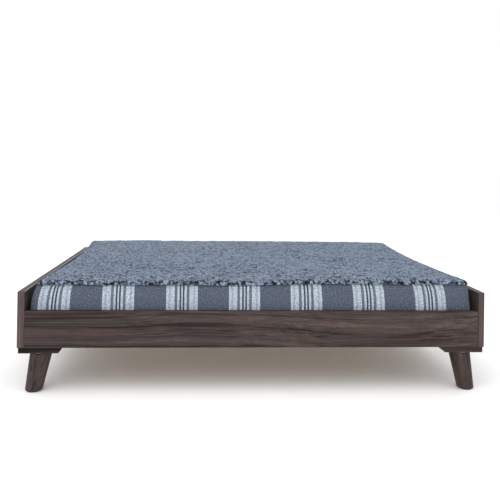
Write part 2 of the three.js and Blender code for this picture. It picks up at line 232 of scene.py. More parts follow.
def curls(points, size, seed):
    """Domes round jittered points, one in each cell: height sqrt(1 - (distance/reach)^2) of the
    nearest point, and that point's own random number."""
    q = points / size
    base = np.floor(q)
    nearest = np.full(len(points), 9.0)
    own = np.zeros(len(points))
    for step in np.ndindex(3, 3, 3):
        cell = base + step - 1
        centre = cell + np.stack([hashed(cell, seed + k) for k in range(3)], 1)
        d = np.linalg.norm(q - centre, axis=1)
        closer = d < nearest
        nearest = np.where(closer, d, nearest)
        own = np.where(closer, hashed(cell, seed + 7), own)
    reach = 0.85
    return np.sqrt(np.clip(1 - (nearest / reach) ** 2, 0, 1)), own


# ---- meshes --------------------------------------------------------------------------------


def lattice(rows, cols, closed):
    """Quads of a grid of points stored row by row, and each quad corner's (row, column) place;
    closed joins the last column to the first."""
    r, c = np.meshgrid(np.arange(rows - 1), np.arange(cols if closed else cols - 1), indexing="ij")
    r, c = r.ravel(), c.ravel()
    n = (c + 1) % cols
    quads = np.stack([r * cols + c, r * cols + n, (r + 1) * cols + n, (r + 1) * cols + c], 1)
    places = np.stack([[r, c], [r, c + 1], [r + 1, c + 1], [r + 1, c]]).transpose(2, 0, 1)
    return quads, places


def volume_of(verts, faces):
    """Signed volume: the sum over fan triangles of a . (b x c) / 6."""
    a, b, c, d = (verts[faces[:, i]] for i in range(4))
    return (np.einsum("ij,ij->", a, np.cross(b, c)) + np.einsum("ij,ij->", a, np.cross(c, d))) / 6


def make_piece(name, verts, faces, uv=None, points=None, smooth=True):
    """New object from arrays: verts (n, 3), faces (m, 4) with a repeated index for a triangle, uv
    (m, 4, 2) for each face corner, points a dict of per-vertex numbers or vectors. Faces are
    turned outwards by the sign of the volume."""
    verts, faces = np.asarray(verts, float), np.asarray(faces, int)
    if volume_of(verts, faces) < 0:
        faces = faces[:, ::-1]
        uv = None if uv is None else uv[:, ::-1]
    listed, kept = [], []
    for i, f in enumerate(faces.tolist()):
        slim = [v for j, v in enumerate(f) if v != f[j - 1]]
        if len(slim) > 2:
            listed.append(slim)
            kept.append([j for j, v in enumerate(f) if v != f[j - 1]])
        else:
            kept.append([])
    mesh = bpy.data.meshes.new(name)
    mesh.from_pydata(verts.tolist(), [], listed)
    if uv is not None:
        flat = np.array([uv[i, j] for i, js in enumerate(kept) for j in js], np.float32)
        mesh.uv_layers.new(name="cloth").data.foreach_set("uv", flat.ravel())
    for key, values in (points or {}).items():
        values = np.asarray(values, np.float32)
        kind = "FLOAT" if values.ndim == 1 else "FLOAT_VECTOR"
        field = "value" if values.ndim == 1 else "vector"
        mesh.attributes.new(key, kind, "POINT").data.foreach_set(field, values.ravel())
    mesh.polygons.foreach_set("use_smooth", [smooth] * len(mesh.polygons))
    mesh.update()
    mesh.validate()
    piece = bpy.data.objects.new(name, mesh)
    bpy.context.scene.collection.objects.link(piece)
    return piece


def joined(parts):
    """Several (verts, faces) solids as one pair of arrays."""
    verts, faces, start = [], [], 0
    for v, f in parts:
        verts.append(v)
        faces.append(f + start)
        start += len(v)
    return np.concatenate(verts), np.concatenate(faces)


def capped_tube(rings):
    """Closed solid from rings (rows, cols, 3): the grid's quads, and a fan from each end ring's
    middle, whose triangles repeat the middle vertex."""
    rows, cols, _ = rings.shape
    quads, _ = lattice(rows, cols, True)
    verts = np.concatenate([rings.reshape(-1, 3), [rings[0].mean(0), rings[-1].mean(0)]])
    low, high = rows * cols, rows * cols + 1
    c = np.arange(cols)
    n = (c + 1) % cols
    last = (rows - 1) * cols
    start = np.stack([n, c, np.full(cols, low), np.full(cols, low)], 1)
    end = np.stack([last + c, last + n, np.full(cols, high), np.full(cols, high)], 1)
    return verts, np.concatenate([quads, start, end])


def lathe(profile, centre, axis, sides=32):
    """Closed round solid: profile rows (radius, height) carried round axis from centre."""
    axis = np.asarray(axis, float) / np.linalg.norm(axis)
    side = np.cross(axis, [0.0, 0.0, 1.0] if abs(axis[2]) < 0.9 else [1.0, 0.0, 0.0])
    side /= np.linalg.norm(side)
    other = np.cross(axis, side)
    angle = np.linspace(0, TAU, sides, endpoint=False)
    round_ = np.cos(angle)[:, None] * side + np.sin(angle)[:, None] * other
    profile = np.asarray(profile, float)
    rings = profile[:, 0, None, None] * round_ + profile[:, 1, None, None] * axis + np.asarray(centre)
    return capped_tube(rings)


def finish_piece(piece, body, material, replaced=()):
    """Gives a piece its material and body, and hides what it stands for."""
    piece.data.materials.clear()
    piece.data.materials.append(material)
    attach(piece, body)
    if replaced:
        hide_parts(*replaced)
    return piece


def dress(names, material):
    """Puts a material on frame nodes that are shown as they are."""
    for name in names:
        NODES[name].data.materials.clear()
        NODES[name].data.materials.append(material)


def named(*starts):
    """Frame nodes whose names start with one of the given words."""
    return sorted(n for n in NODES if n.startswith(starts))


# ---- the cover's outline -------------------------------------------------------------------


def outline(step, inset=0.0, arc=14):
    """Rounded rectangle of the cover, counter-clockwise from the middle of the back: points,
    outward normals and arc length. Straight runs are even steps; each corner is a quarter arc."""
    radius = settings("bed_mattress").corner
    hx, hy = HALF_W - radius, HALF_D - radius
    places, normals = [], []

    def straight(a, b, normal):
        count = max(2, round(np.linalg.norm(np.subtract(b, a)) / step))
        t = np.arange(count)[:, None] / count
        places.append(np.array(a) + t * np.subtract(b, a))
        normals.append(np.repeat([normal], count, 0))

    def corner(cx, cy, start):
        angle = start + np.arange(arc) / arc * np.pi / 2
        unit = np.stack([np.cos(angle), np.sin(angle)], 1)
        places.append(np.array([cx, cy]) + radius * unit)
        normals.append(unit)

    straight((0, HALF_D), (-hx, HALF_D), (0, 1))
    corner(-hx, hy, np.pi / 2)
    straight((-HALF_W, hy), (-HALF_W, -hy), (-1, 0))
    corner(-hx, -hy, np.pi)
    straight((-hx, -HALF_D), (hx, -HALF_D), (0, -1))
    corner(hx, -hy, 1.5 * np.pi)
    straight((HALF_W, -hy), (HALF_W, hy), (1, 0))
    corner(hx, hy, 0)
    straight((hx, HALF_D), (0, HALF_D), (0, 1))
    xy, normal = np.concatenate(places), np.concatenate(normals)
    run = np.linalg.norm(np.diff(xy, axis=0, append=xy[:1]), axis=1)
    return xy - inset * normal, normal, np.concatenate([[0], np.cumsum(run)])


def drawn_in(points):
    """The cover's pull. Each end comes in by a parabola through its three given pulls, and the
    front by pull_y at its middle; the front has settled a little on the left. Across the bed the
    pull fades as |x|^6 from the left end and as |x| from the right. Up the side it is part
    rise^2 and part the round 1 - sqrt(1 - rise^2), so the seam stands over a bulge. The zip keeps
    the back flat."""
    s = settings("bed_mattress")
    x, y, z = points.T
    rise = np.clip((z - BASE_HIGH[2]) / (SEAM_Z - BASE_HIGH[2]), 0, 1)
    rise = STRAIGHT_SHARE * rise**2 + (1 - STRAIGHT_SHARE) * (1 - np.sqrt(1 - rise**2))
    v = np.clip(y / HALF_D, -1, 1)

    def parabola(front, middle, back):
        return middle + (back - front) / 2 * v + ((front + back) / 2 - middle) * v**2

    fade = np.where(x < 0, np.minimum(np.abs(x / HALF_W), 1) ** LEFT_FADE, 1.0)
    px = np.where(x < 0, parabola(*s.pull_left), parabola(*s.pull_right)) * fade * rise
    py = s.pull_y * (1 - (x / HALF_W) ** 2) * rise * (y < 0)
    left = np.clip((SETTLED_FROM - x) / SETTLED_OVER, 0, 1)
    settled = s.settled * left * left * (3 - 2 * left) * (1 - v) / 2 * rise
    return np.stack([x * (1 - px / HALF_W) + s.shift, y * (1 - py / HALF_D), z - settled], 1)


# ---- cloth simulation of the cover ---------------------------------------------------------


def cover_form(inset, low, high, shoulder):
    """Closed, plain form of the whole cover: shrinking rings of the outline over the base, up the
    side from low to high, and across a top that is raised by shoulder just inside its edge."""
    xy, normal, _ = outline(0.02, arc=8)
    xy = xy - inset * normal
    rings = []

    def ring(scale, z):
        rings.append(np.concatenate([xy * scale, np.full((len(xy), 1), z)], 1))

    for scale in np.linspace(0.06, 0.97, 12):
        ring(scale, low)
    for z in np.linspace(low, high, 9):
        ring(1.0, z)
    for scale in np.linspace(0.985, 0.06, 12):
        ring(scale, high + shoulder * min(1.0, (1 - scale) / 0.06))
    verts, faces = capped_tube(np.array(rings))
    return drawn_in(verts), faces


def run_cloth(form, pinned):
    """Steps a cloth simulation of a mesh object, blown out from inside and held at its pinned
    vertices, and returns where its vertices were and where they end."""
    scene = bpy.context.scene
    start = np.empty(3 * len(form.data.vertices), np.float32)
    form.data.vertices.foreach_get("co", start)
    start = start.reshape(-1, 3).astype(float)
    pins = form.vertex_groups.new(name="pins")
    pins.add(np.flatnonzero(pinned(start)).tolist(), 1.0, "REPLACE")
    cloth = form.modifiers.new("cloth", "CLOTH")
    given = cloth.settings
    given.quality = 3
    given.mass = 0.25
    given.tension_stiffness = given.compression_stiffness = 12
    given.shear_stiffness = 4
    given.bending_stiffness = 0.15
    given.air_damping = 2
    given.shrink_min = CLOTH_SLACK
    given.use_pressure = True
    given.uniform_pressure_force = CLOTH_PRESSURE
    given.vertex_group_mass = "pins"
    given.effector_weights.gravity = 0
    cloth.collision_settings.use_collision = False
    cloth.point_cache.frame_start, cloth.point_cache.frame_end = 1, CLOTH_FRAMES
    for step in range(1, CLOTH_FRAMES + 1):
        scene.frame_set(step)
    shown = form.evaluated_get(bpy.context.evaluated_depsgraph_get())
    end = np.empty(3 * len(start), np.float32)
    shown.data.vertices.foreach_get("co", end)
    scene.frame_set(1)
    form.modifiers.remove(cloth)
    return start, end.reshape(-1, 3).astype(float)


def cell_means(places, values, shape, wrap):
    """Mean of the values that fall in each cell of a grid, with places as fractional cells; then
    one pass of the 3 x 3 mean, which also fills cells that got none. wrap joins the rows' ends."""
    cells = np.floor(places).astype(int)
    cells[:, 0] = cells[:, 0] % shape[0] if wrap else np.clip(cells[:, 0], 0, shape[0] - 1)
    cells[:, 1] = np.clip(cells[:, 1], 0, shape[1] - 1)
    total, count = np.zeros(shape), np.zeros(shape)
    np.add.at(total, tuple(cells.T), values)
    np.add.at(count, tuple(cells.T), 1.0)
    mode = "wrap" if wrap else "edge"

    def spread(grid):
        grid = np.pad(np.pad(grid, ((1, 1), (0, 0)), mode), ((0, 0), (1, 1)), "edge")
        return sum(grid[i:i + shape[0], j:j + shape[1]] for i in range(3) for j in range(3))

    return spread(total) / np.maximum(spread(count), 1.0)


def sampled(grid, places, wrap):
    """Smoothstep-weighted value of a grid of cell means at fractional cells."""
    q = places - 0.5
    base = np.floor(q).astype(int)
    f = q - base
    f = f * f * (3 - 2 * f)
    value = np.zeros(len(places))
    for i, j in np.ndindex(2, 2):
        a = base[:, 0] + i
        a = a % grid.shape[0] if wrap else np.clip(a, 0, grid.shape[0] - 1)
        b = np.clip(base[:, 1] + j, 0, grid.shape[1] - 1)
        weight = np.where(i, f[:, 0], 1 - f[:, 0]) * np.where(j, f[:, 1], 1 - f[:, 1])
        value += weight * grid[a, b]
    return value


def side_places(points, run):
    """Fractional cells of points on the side: along the cloth, and up it."""
    return np.stack([run / SLACK_CELL, (points[:, 2] - BASE_LOW[2]) / SLACK_CELL], 1)


def top_places(points):
    """Fractional cells of points on the top: across, and from front to back."""
    return np.stack([(points[:, 0] + HALF_W) / SLACK_CELL, (points[:, 1] + HALF_D) / SLACK_CELL], 1)


def cover_slack():
    """How far the cover's cloth leaves its sewn shape, from one simulation of the whole cover:
    outward on the side as a grid along and up the cloth, and upward on the top as a grid."""
    xy, normal, run = outline(SLACK_CELL)
    side_shape = (int(run[-1] / SLACK_CELL), int((SEAM_Z - BASE_LOW[2]) / SLACK_CELL) + 1)
    top_shape = (int(2 * HALF_W / SLACK_CELL) + 1, int(2 * HALF_D / SLACK_CELL) + 1)
    verts, faces = cover_form(0.001, BASE_LOW[2] + 0.001, SEAM_Z, TOP_HIGH[2] - SEAM_Z)
    form = make_piece("cover form", verts, faces)
    remesh = form.modifiers.new("remesh", "REMESH")
    remesh.mode, remesh.voxel_size = "VOXEL", CLOTH_VOXEL
    shown = form.evaluated_get(bpy.context.evaluated_depsgraph_get())
    fine = bpy.data.meshes.new_from_object(shown)
    form.modifiers.remove(remesh)
    form.data = fine

    def pinned(p):
        """Both sewn edges, and the back where the zip's tape holds the cloth."""
        seam = (np.abs(p[:, 2] - SEAM_Z) < 0.005) | (p[:, 2] < BASE_HIGH[2] + 0.004)
        zip_held = (p[:, 1] > HALF_D - 0.012) & (p[:, 2] > TAPE_LOW[2] - 0.01) & (p[:, 2] < SEAM_Z)
        return seam | zip_held

    start, end = run_cloth(form, pinned)
    bpy.data.objects.remove(form)
    cap = settings("bed_mattress").slack_cap
    moved = end - start
    far = np.linalg.norm(moved, axis=1, keepdims=True)
    moved = moved * np.minimum(1, cap / np.maximum(far, 1e-9))

    on_top = start[:, 2] > SEAM_Z + 0.003
    top = cell_means(top_places(start[on_top]), moved[on_top, 2], top_shape, False)
    flat = np.stack([start[:, 0], start[:, 1]], 1)
    on_side = (start[:, 2] > BASE_LOW[2]) & (start[:, 2] < SEAM_Z) & (
        (np.abs(flat[:, 0]) > HALF_W - 0.06) | (np.abs(flat[:, 1]) > HALF_D - 0.03))
    gap = np.linalg.norm(flat[on_side][:, None] - xy[None], axis=2)
    near = gap.argmin(1)
    outward = (moved[on_side, :2] * normal[near]).sum(1)
    side = cell_means(side_places(start[on_side], run[near]), outward, side_shape, True)
    return side, top


# ---- shader helpers ------------------------------------------------------------------------


def new_material(name):
    """Material with a Principled BSDF; returns the material, its node tree and the shader."""
    material = bpy.data.materials.new(name)
    material.use_nodes = True
    tree = material.node_tree
    return material, tree, tree.nodes["Principled BSDF"]


def node(tree, kind, **values):
    """New shader node; a value is an attribute of the node or the name of an input."""
    made = tree.nodes.new(kind)
    for key, value in values.items():
        if hasattr(made, key):
            setattr(made, key, value)
        else:
            made.inputs[key.replace("_", " ")].default_value = value
    return made


def wire(tree, source, target):
    """Link from a socket to a socket."""
    tree.links.new(source, target)


def maths(tree, operation, a, b=None, clamp=False):
    """Math node on sockets or numbers."""
    made = tree.nodes.new("ShaderNodeMath")
    made.operation, made.use_clamp = operation, clamp
    for socket, value in zip(made.inputs, (a, b)):
        if value is None:
            continue
        if isinstance(value, (int, float)):
            socket.default_value = value
        else:
            wire(tree, value, socket)
    return made.outputs[0]


def blend_colours(tree, share, a, b, mode="MIX"):
    """Mix of two colours, each a socket or an RGB triple."""
    made = tree.nodes.new("ShaderNodeMix")
    made.data_type, made.blend_type = "RGBA", mode
    for socket, value in zip((made.inputs[0], made.inputs[6], made.inputs[7]), (share, a, b)):
        if isinstance(value, (int, float)):
            socket.default_value = value
        elif isinstance(value, bpy.types.NodeSocket):
            wire(tree, value, socket)
        else:
            socket.default_value = (*value[:3], 1)
    return made.outputs[2]


def ramp(tree, source, stops, constant=False):
    """Colour ramp with (place, RGB or grey) stops."""
    made = tree.nodes.new("ShaderNodeValToRGB")
    made.color_ramp.interpolation = "CONSTANT" if constant else "EASE"
    elements = made.color_ramp.elements
    while len(elements) < len(stops):
        elements.new(1.0)
    for element, (place, colour) in zip(elements, stops):
        element.position = place
        rgb = (colour,) * 3 if isinstance(colour, (int, float)) else tuple(colour)[:3]
        element.color = (*rgb, 1)
    wire(tree, source, made.inputs[0])
    return made.outputs[0]


def bump(tree, shader, height, distance, strength=1.0):
    """Bump from a height socket on the shader's normal."""
    made = tree.nodes.new("ShaderNodeBump")
    made.inputs["Strength"].default_value = strength
    made.inputs["Distance"].default_value = distance
    wire(tree, height, made.inputs["Height"])
    wire(tree, made.outputs[0], shader.inputs["Normal"])


def surface(tree, shader, colour, roughness, height, distance, strength, **inputs):
    """Colour, roughness and bump of a shader; a roughness is a socket or a number, and other
    inputs are given by name."""
    wire(tree, colour, shader.inputs["Base Color"])
    if isinstance(roughness, bpy.types.NodeSocket):
        wire(tree, roughness, shader.inputs["Roughness"])
    else:
        shader.inputs["Roughness"].default_value = roughness
    for key, value in inputs.items():
        shader.inputs[key.replace("_", " ")].default_value = value
    bump(tree, shader, height, distance, strength)


def parts_of(tree, vector):
    """X, Y and Z sockets of a vector."""
    made = tree.nodes.new("ShaderNodeSeparateXYZ")
    wire(tree, vector, made.inputs[0])
    return made.outputs


def scaled(tree, vector, x, y, z):
    """Vector times (x, y, z)."""
    made = tree.nodes.new("ShaderNodeVectorMath")
    made.operation = "MULTIPLY"
    made.inputs[1].default_value = (x, y, z)
    wire(tree, vector, made.inputs[0])
    return made.outputs[0]


def noise(tree, vector, scale, detail=2.0, roughness=0.5, distortion=0.0):
    """Noise texture's value."""
    made = tree.nodes.new("ShaderNodeTexNoise")
    values = {"Scale": scale, "Detail": detail, "Roughness": roughness, "Distortion": distortion}
    for key, value in values.items():
        made.inputs[key].default_value = value
    wire(tree, vector, made.inputs["Vector"])
    return made.outputs[0]


def group_tree(name, inputs, outputs):
    """Empty shader node group with named sockets; returns it with its input and output nodes."""
    tree = bpy.data.node_groups.new(name, "ShaderNodeTree")
    for label, kind, default in inputs:
        socket = tree.interface.new_socket(name=label, in_out="INPUT", socket_type=kind)
        if default is not None:
            socket.default_value = default
    for label, kind in outputs:
        tree.interface.new_socket(name=label, in_out="OUTPUT", socket_type=kind)
    return tree, tree.nodes.new("NodeGroupInput"), tree.nodes.new("NodeGroupOutput")


def grain_group():
    """Wood grain along X of its vector, bent by slow waves: broad tone, dark growth lines, fine
    fibre and pores, and a warm cast in some of the streaks."""
    name = "Wood Grain"
    if name in bpy.data.node_groups:
        return bpy.data.node_groups[name]
    tree, start, end = group_tree(
        name,
        [("Vector", "NodeSocketVector", None), ("Dark", "NodeSocketColor", (0.03, 0.02, 0.02, 1)),
         ("Light", "NodeSocketColor", (0.1, 0.08, 0.08, 1)), ("Arches", "NodeSocketFloat", 0.5)],
        [("Color", "NodeSocketColor"), ("Roughness", "NodeSocketFloat"), ("Height", "NodeSocketFloat")])
    vector = start.outputs["Vector"]
    x, y, z = parts_of(tree, vector)
    slow = noise(tree, scaled(tree, vector, 1.5, 5, 5), 1.0, 1.0, 0.4)
    sway = maths(tree, "MULTIPLY", maths(tree, "MULTIPLY", maths(tree, "SUBTRACT", slow, 0.5), 0.16),
                 start.outputs["Arches"])
    bent = tree.nodes.new("ShaderNodeCombineXYZ")
    wire(tree, x, bent.inputs[0])
    wire(tree, maths(tree, "ADD", y, sway), bent.inputs[1])
    wire(tree, maths(tree, "ADD", z, sway), bent.inputs[2])
    bent = bent.outputs[0]

    broad = noise(tree, scaled(tree, bent, 0.8, 44, 44), 1.0, 3.0, 0.6)
    lines = noise(tree, scaled(tree, bent, 0.7, 95, 95), 1.0, 2.0, 0.6)
    fibre = noise(tree, scaled(tree, bent, 5, 330, 330), 1.0, 3.0, 0.65)
    pores = noise(tree, scaled(tree, bent, 26, 900, 900), 1.0, 2.0, 0.6)
    warm = noise(tree, scaled(tree, bent, 0.9, 60, 60), 1.0, 2.0, 0.5)
    tone = maths(tree, "ADD", maths(tree, "MULTIPLY", broad, 0.55), maths(tree, "MULTIPLY", fibre, 0.45))
    tone = ramp(tree, tone, [(0.36, 0.0), (0.50, 0.45), (0.64, 1.0)])
    colour = blend_colours(tree, tone, start.outputs["Dark"], start.outputs["Light"])
    growth = ramp(tree, lines, [(0.34, 0.38), (0.44, 1.0)])
    colour = blend_colours(tree, 1.0, colour, growth, "MULTIPLY")
    cast = ramp(tree, warm, [(0.50, (1.0, 1.0, 1.0)), (0.66, (1.16, 0.98, 0.90))])
    colour = blend_colours(tree, 1.0, colour, cast, "MULTIPLY")
    colour = blend_colours(tree, 1.0, colour, ramp(tree, pores, [(0.34, 0.66), (0.50, 1.0)]), "MULTIPLY")
    wire(tree, colour, end.inputs["Color"])
    wire(tree, maths(tree, "ADD", 0.38, maths(tree, "MULTIPLY", fibre, 0.22)), end.inputs["Roughness"])
    wire(tree, pores, end.inputs["Height"])
    return tree


def weave_group():
    """Plain weave on a UV in metres: two crossed sets of rounded yarns, uneven in tone."""
    name = "Plain Weave"
    if name in bpy.data.node_groups:
        return bpy.data.node_groups[name]
    tree, start, end = group_tree(
        name,
        [("Vector", "NodeSocketVector", None), ("Yarns", "NodeSocketFloat", 900.0)],
        [("Heather", "NodeSocketFloat"), ("Height", "NodeSocketFloat")])
    vector = start.outputs["Vector"]
    u, v = (maths(tree, "MULTIPLY", run, start.outputs["Yarns"]) for run in parts_of(tree, vector)[:2])
    warp, weft = (maths(tree, "ABSOLUTE", maths(tree, "SINE", maths(tree, "MULTIPLY", run, np.pi)))
                  for run in (u, v))
    parity = maths(tree, "ADD", maths(tree, "FLOOR", u), maths(tree, "FLOOR", v))
    over = maths(tree, "ABSOLUTE", maths(tree, "MODULO", parity, 2.0))
    height = tree.nodes.new("ShaderNodeMix")
    wire(tree, over, height.inputs[0])
    wire(tree, warp, height.inputs[2])
    wire(tree, weft, height.inputs[3])
    along_u = noise(tree, scaled(tree, vector, 90, 500, 1), 1.0, 3.0, 0.7)
    along_v = noise(tree, scaled(tree, vector, 500, 60, 1), 1.0, 3.0, 0.7)
    blotch = noise(tree, scaled(tree, vector, 230, 230, 1), 1.0, 1.0, 0.6)
    yarn_tone = maths(tree, "MULTIPLY", maths(tree, "ADD", along_u, along_v), 0.25)
    wire(tree, maths(tree, "ADD", yarn_tone, maths(tree, "MULTIPLY", blotch, 0.5)), end.inputs["Heather"])
    wire(tree, height.outputs[0], end.inputs["Height"])
    return tree


def placed_group(tree, group, **links):
    """Group node with sockets, numbers or colours on its inputs."""
    made = tree.nodes.new("ShaderNodeGroup")
    made.node_tree = group
    for key, value in links.items():
        if isinstance(value, bpy.types.NodeSocket):
            wire(tree, value, made.inputs[key])
        else:
            made.inputs[key].default_value = value
    return made


def object_coordinates(tree):
    """Place on the object, in metres."""
    return tree.nodes.new("ShaderNodeTexCoord").outputs["Object"]


def reordered(tree, vector, order, offset=(0, 0, 0)):
    """Vector with its parts taken in another order, such as "yxz", then moved."""
    parts = parts_of(tree, vector)
    made = tree.nodes.new("ShaderNodeCombineXYZ")
    for socket, letter, move in zip(made.inputs, order, offset):
        wire(tree, maths(tree, "ADD", parts["xyz".index(letter)], move), socket)
    return made.outputs[0]


# ---- finishes ------------------------------------------------------------------------------


def board_material(name, along, band_axis=None, seed=0.0):
    """Walnut laminate with its grain along X or Y, and edge banding of a paler, upright grain on
    the faces at the two ends of band_axis."""
    s = settings("bed_finish")
    material, tree, shader = new_material(name)
    place = object_coordinates(tree)
    order = "xyz" if along == "x" else "yxz"
    face = placed_group(tree, grain_group(), Vector=reordered(tree, place, order, (seed, seed * 2, seed)),
                        Dark=(*s.wood_dark, 1), Light=(*s.wood_light, 1), Arches=0.4)
    colour, rough, height = face.outputs
    if band_axis is not None:
        pale = tuple(1.30 * c for c in s.wood_light)
        deep = tuple(2.1 * c for c in s.wood_dark)
        band = placed_group(tree, grain_group(), Vector=reordered(tree, place, "zxy", (seed, 0.3, 0.7)),
                            Dark=(*deep, 1), Light=(*pale, 1), Arches=0.2)
        reach = abs(FRONT_FACE) - 0.0008
        from_middle = maths(tree, "ABSOLUTE", parts_of(tree, place)[band_axis])
        mask = maths(tree, "GREATER_THAN", from_middle, reach)
        colour = blend_colours(tree, mask, colour, band.outputs["Color"])
    surface(tree, shader, colour, rough, height, 0.00015, 0.5, Specular_IOR_Level=0.14)
    return material


def stain_material(name, place_name, shade, arches, specular):
    """Walnut stain, the laminate's colours times shade, with its grain along X of a place
    attribute or, without one, of the object."""
    s = settings("bed_finish")
    material, tree, shader = new_material(name)
    if place_name:
        place = node(tree, "ShaderNodeAttribute", attribute_name=place_name).outputs["Vector"]
    else:
        place = object_coordinates(tree)
    dark, light = ((*(shade * c for c in tone), 1) for tone in (s.wood_dark, s.wood_light))
    grain = placed_group(tree, grain_group(), Vector=place, Dark=dark, Light=light, Arches=arches)
    surface(tree, shader, *grain.outputs, 0.0002, 0.5, Specular_IOR_Level=specular)
    return material


def raw_wood_material(name, dark, light, order):
    """Planed, unfinished wood or board with a faint grain."""
    material, tree, shader = new_material(name)
    grain = placed_group(tree, grain_group(), Vector=reordered(tree, object_coordinates(tree), order),
                         Dark=(*dark, 1), Light=(*light, 1), Arches=0.6)
    colour, rough, height = grain.outputs
    surface(tree, shader, colour, maths(tree, "ADD", rough, 0.3, True), height, 0.0003, 0.6)
    return material


def metal_material(name, tone, roughness):
    """Plated steel: cloudy tone, fine scratches in the roughness and a slight hammered bump."""
    material, tree, shader = new_material(name)
    place = object_coordinates(tree)
    cloud = noise(tree, place, 160.0, 3.0, 0.6)
    colour = ramp(tree, cloud, [(0.3, tuple(0.78 * c for c in tone)), (0.7, tone)])
    scratch = noise(tree, scaled(tree, place, 900, 120, 2400), 1.0, 2.0, 0.7)
    uneven = maths(tree, "ADD", roughness - 0.1, maths(tree, "MULTIPLY", scratch, 0.24))
    surface(tree, shader, colour, uneven, cloud, 0.0001, 0.3, Metallic=1.0)
    return material


def felt_material():
    """Pressed black felt: fibre noise at two sizes."""
    material, tree, shader = new_material("Glide Felt")
    place = object_coordinates(tree)
    fibre = noise(tree, place, 1900.0, 4.0, 0.8, 1.5)
    colour = ramp(tree, fibre, [(0.3, (0.008, 0.008, 0.009)), (0.75, (0.04, 0.04, 0.042))])
    surface(tree, shader, colour, 0.98, fibre, 0.0004, 0.8, Sheen_Weight=0.4)
    return material


def foam_material():
    """Cream open-cell foam: small pits, darker towards their bottoms as painted shade."""
    material, tree, shader = new_material("Cream Foam")
    place = object_coordinates(tree)
    cell = node(tree, "ShaderNodeTexVoronoi", Scale=700.0)
    wire(tree, place, cell.inputs["Vector"])
    pits = cell.outputs["Distance"]
    # Painted shade: the colour darkens towards the bottom of each pit, where the bump is lowest.
    colour = ramp(tree, pits, [(0.1, (0.72, 0.66, 0.47)), (0.6, (0.86, 0.81, 0.65))])
    surface(tree, shader, colour, 0.95, pits, 0.0005, 0.6)
    return material


def plush_material():
    """Curly pile: painted shade between the curls, in speckled gaps among them and along the lip over the
    seam; pale at the curls' tips, and each curl its own tone.
    """
    s = settings("bed_finish")
    material, tree, shader = new_material("Slate Plush")
    place = object_coordinates(tree)
    height = node(tree, "ShaderNodeAttribute", attribute_name="pile_height").outputs["Fac"]
    own = node(tree, "ShaderNodeAttribute", attribute_name="pile_tone").outputs["Fac"]
    strand = noise(tree, place, 330.0, 3.0, 0.72, 1.6)
    patch = noise(tree, place, 150.0, 3.0, 0.6)
    drift = noise(tree, place, 7.0, 2.0, 0.5)
    # Tone level: the curls' height and the strand and patch noise that also make the bump, so low pile reads
    # darker as painted shade between the curls; each curl's own tone, the noise and the slow drift also give
    # the pile's own unevenness.
    level = maths(tree, "MULTIPLY", height, 0.45)
    for part, share in ((own, 0.30), (strand, 0.40), (patch, 0.26), (drift, 0.12)):
        level = maths(tree, "ADD", level, maths(tree, "MULTIPLY", part, share))
    # Painted shade along the lip over the seam, from the pad's own attribute.
    lip_shade = node(tree, "ShaderNodeAttribute", attribute_name="pile_lip_shade").outputs["Fac"]
    level = maths(tree, "SUBTRACT", level, maths(tree, "MULTIPLY", lip_shade, 0.26), True)
    # Painted shade in the gaps between curls: dark speckles along the edges of Voronoi cells, in chosen
    # patches.
    pits = node(tree, "ShaderNodeTexVoronoi", feature="DISTANCE_TO_EDGE", Scale=95.0)
    wire(tree, place, pits.inputs["Vector"])
    chosen = ramp(tree, noise(tree, place, 60.0, 2.0, 0.6), [(0.46, 0.0), (0.60, 1.0)])
    pit_shade = ramp(tree, pits.outputs["Distance"], [(0.02, 1.0), (0.14, 0.0)])
    pit_shade = maths(tree, "MULTIPLY", maths(tree, "MULTIPLY", pit_shade, chosen), 0.22)
    level = maths(tree, "SUBTRACT", level, pit_shade, True)
    colour = ramp(tree, level, [(0.50, s.pile_deep_shade), (0.68, s.pile_mid), (0.86, s.pile_tip)])
    relief = maths(tree, "ADD", strand, maths(tree, "MULTIPLY", patch, 0.6))
    surface(tree, shader, colour, 0.95, relief, 0.0022, 0.9,
            Specular_IOR_Level=0.05, Sheen_Weight=0.02, Sheen_Roughness=0.6)
    return material


def stripe_material():
    """Heathered woven cloth. The stripe is chosen by the distance along the cloth from the nearest
    group's middle: thin pale, dark, pale, grey, wide pale with a greyer line in it, then ground."""
    s = settings("bed_stripes")
    material, tree, shader = new_material("Striped Side Cloth")
    uv = node(tree, "ShaderNodeUVMap", uv_map="cloth").outputs[0]
    ragged = noise(tree, scaled(tree, uv, 260, 900, 1), 1.0, 2.0, 0.7)
    slip = maths(tree, "MULTIPLY", maths(tree, "SUBTRACT", ragged, 0.5), 0.0018)
    turns = maths(tree, "DIVIDE", maths(tree, "ADD", parts_of(tree, uv)[0], slip), s.period)
    place = maths(tree, "FRACT", maths(tree, "ADD", turns, 0.5))
    from_middle = maths(tree, "ABSOLUTE", maths(tree, "SUBTRACT", place, 0.5))
    worn = tuple(0.74 * c for c in s.pale)
    edges = [0.0, 0.0018, 0.0072, 0.0133, 0.0219, 0.0332, 0.0395, 0.0471]
    colours = [s.pale, s.dark, s.pale, s.grey, s.pale, worn, s.pale, s.ground]
    stops = [(edge / s.period, colour) for edge, colour in zip(edges, colours)]
    colour = ramp(tree, from_middle, stops, constant=True)
    weave = placed_group(tree, weave_group(), Vector=uv, Yarns=1100.0)
    speck = ramp(tree, weave.outputs["Heather"], [(0.36, 0.50), (0.50, 0.98), (0.63, 1.55)])
    colour = blend_colours(tree, 1.0, colour, speck, "MULTIPLY")
    surface(tree, shader, colour, 0.9, weave.outputs["Height"], 0.0004, 0.7,
            Specular_IOR_Level=0.10, Sheen_Weight=0.12)
    return material


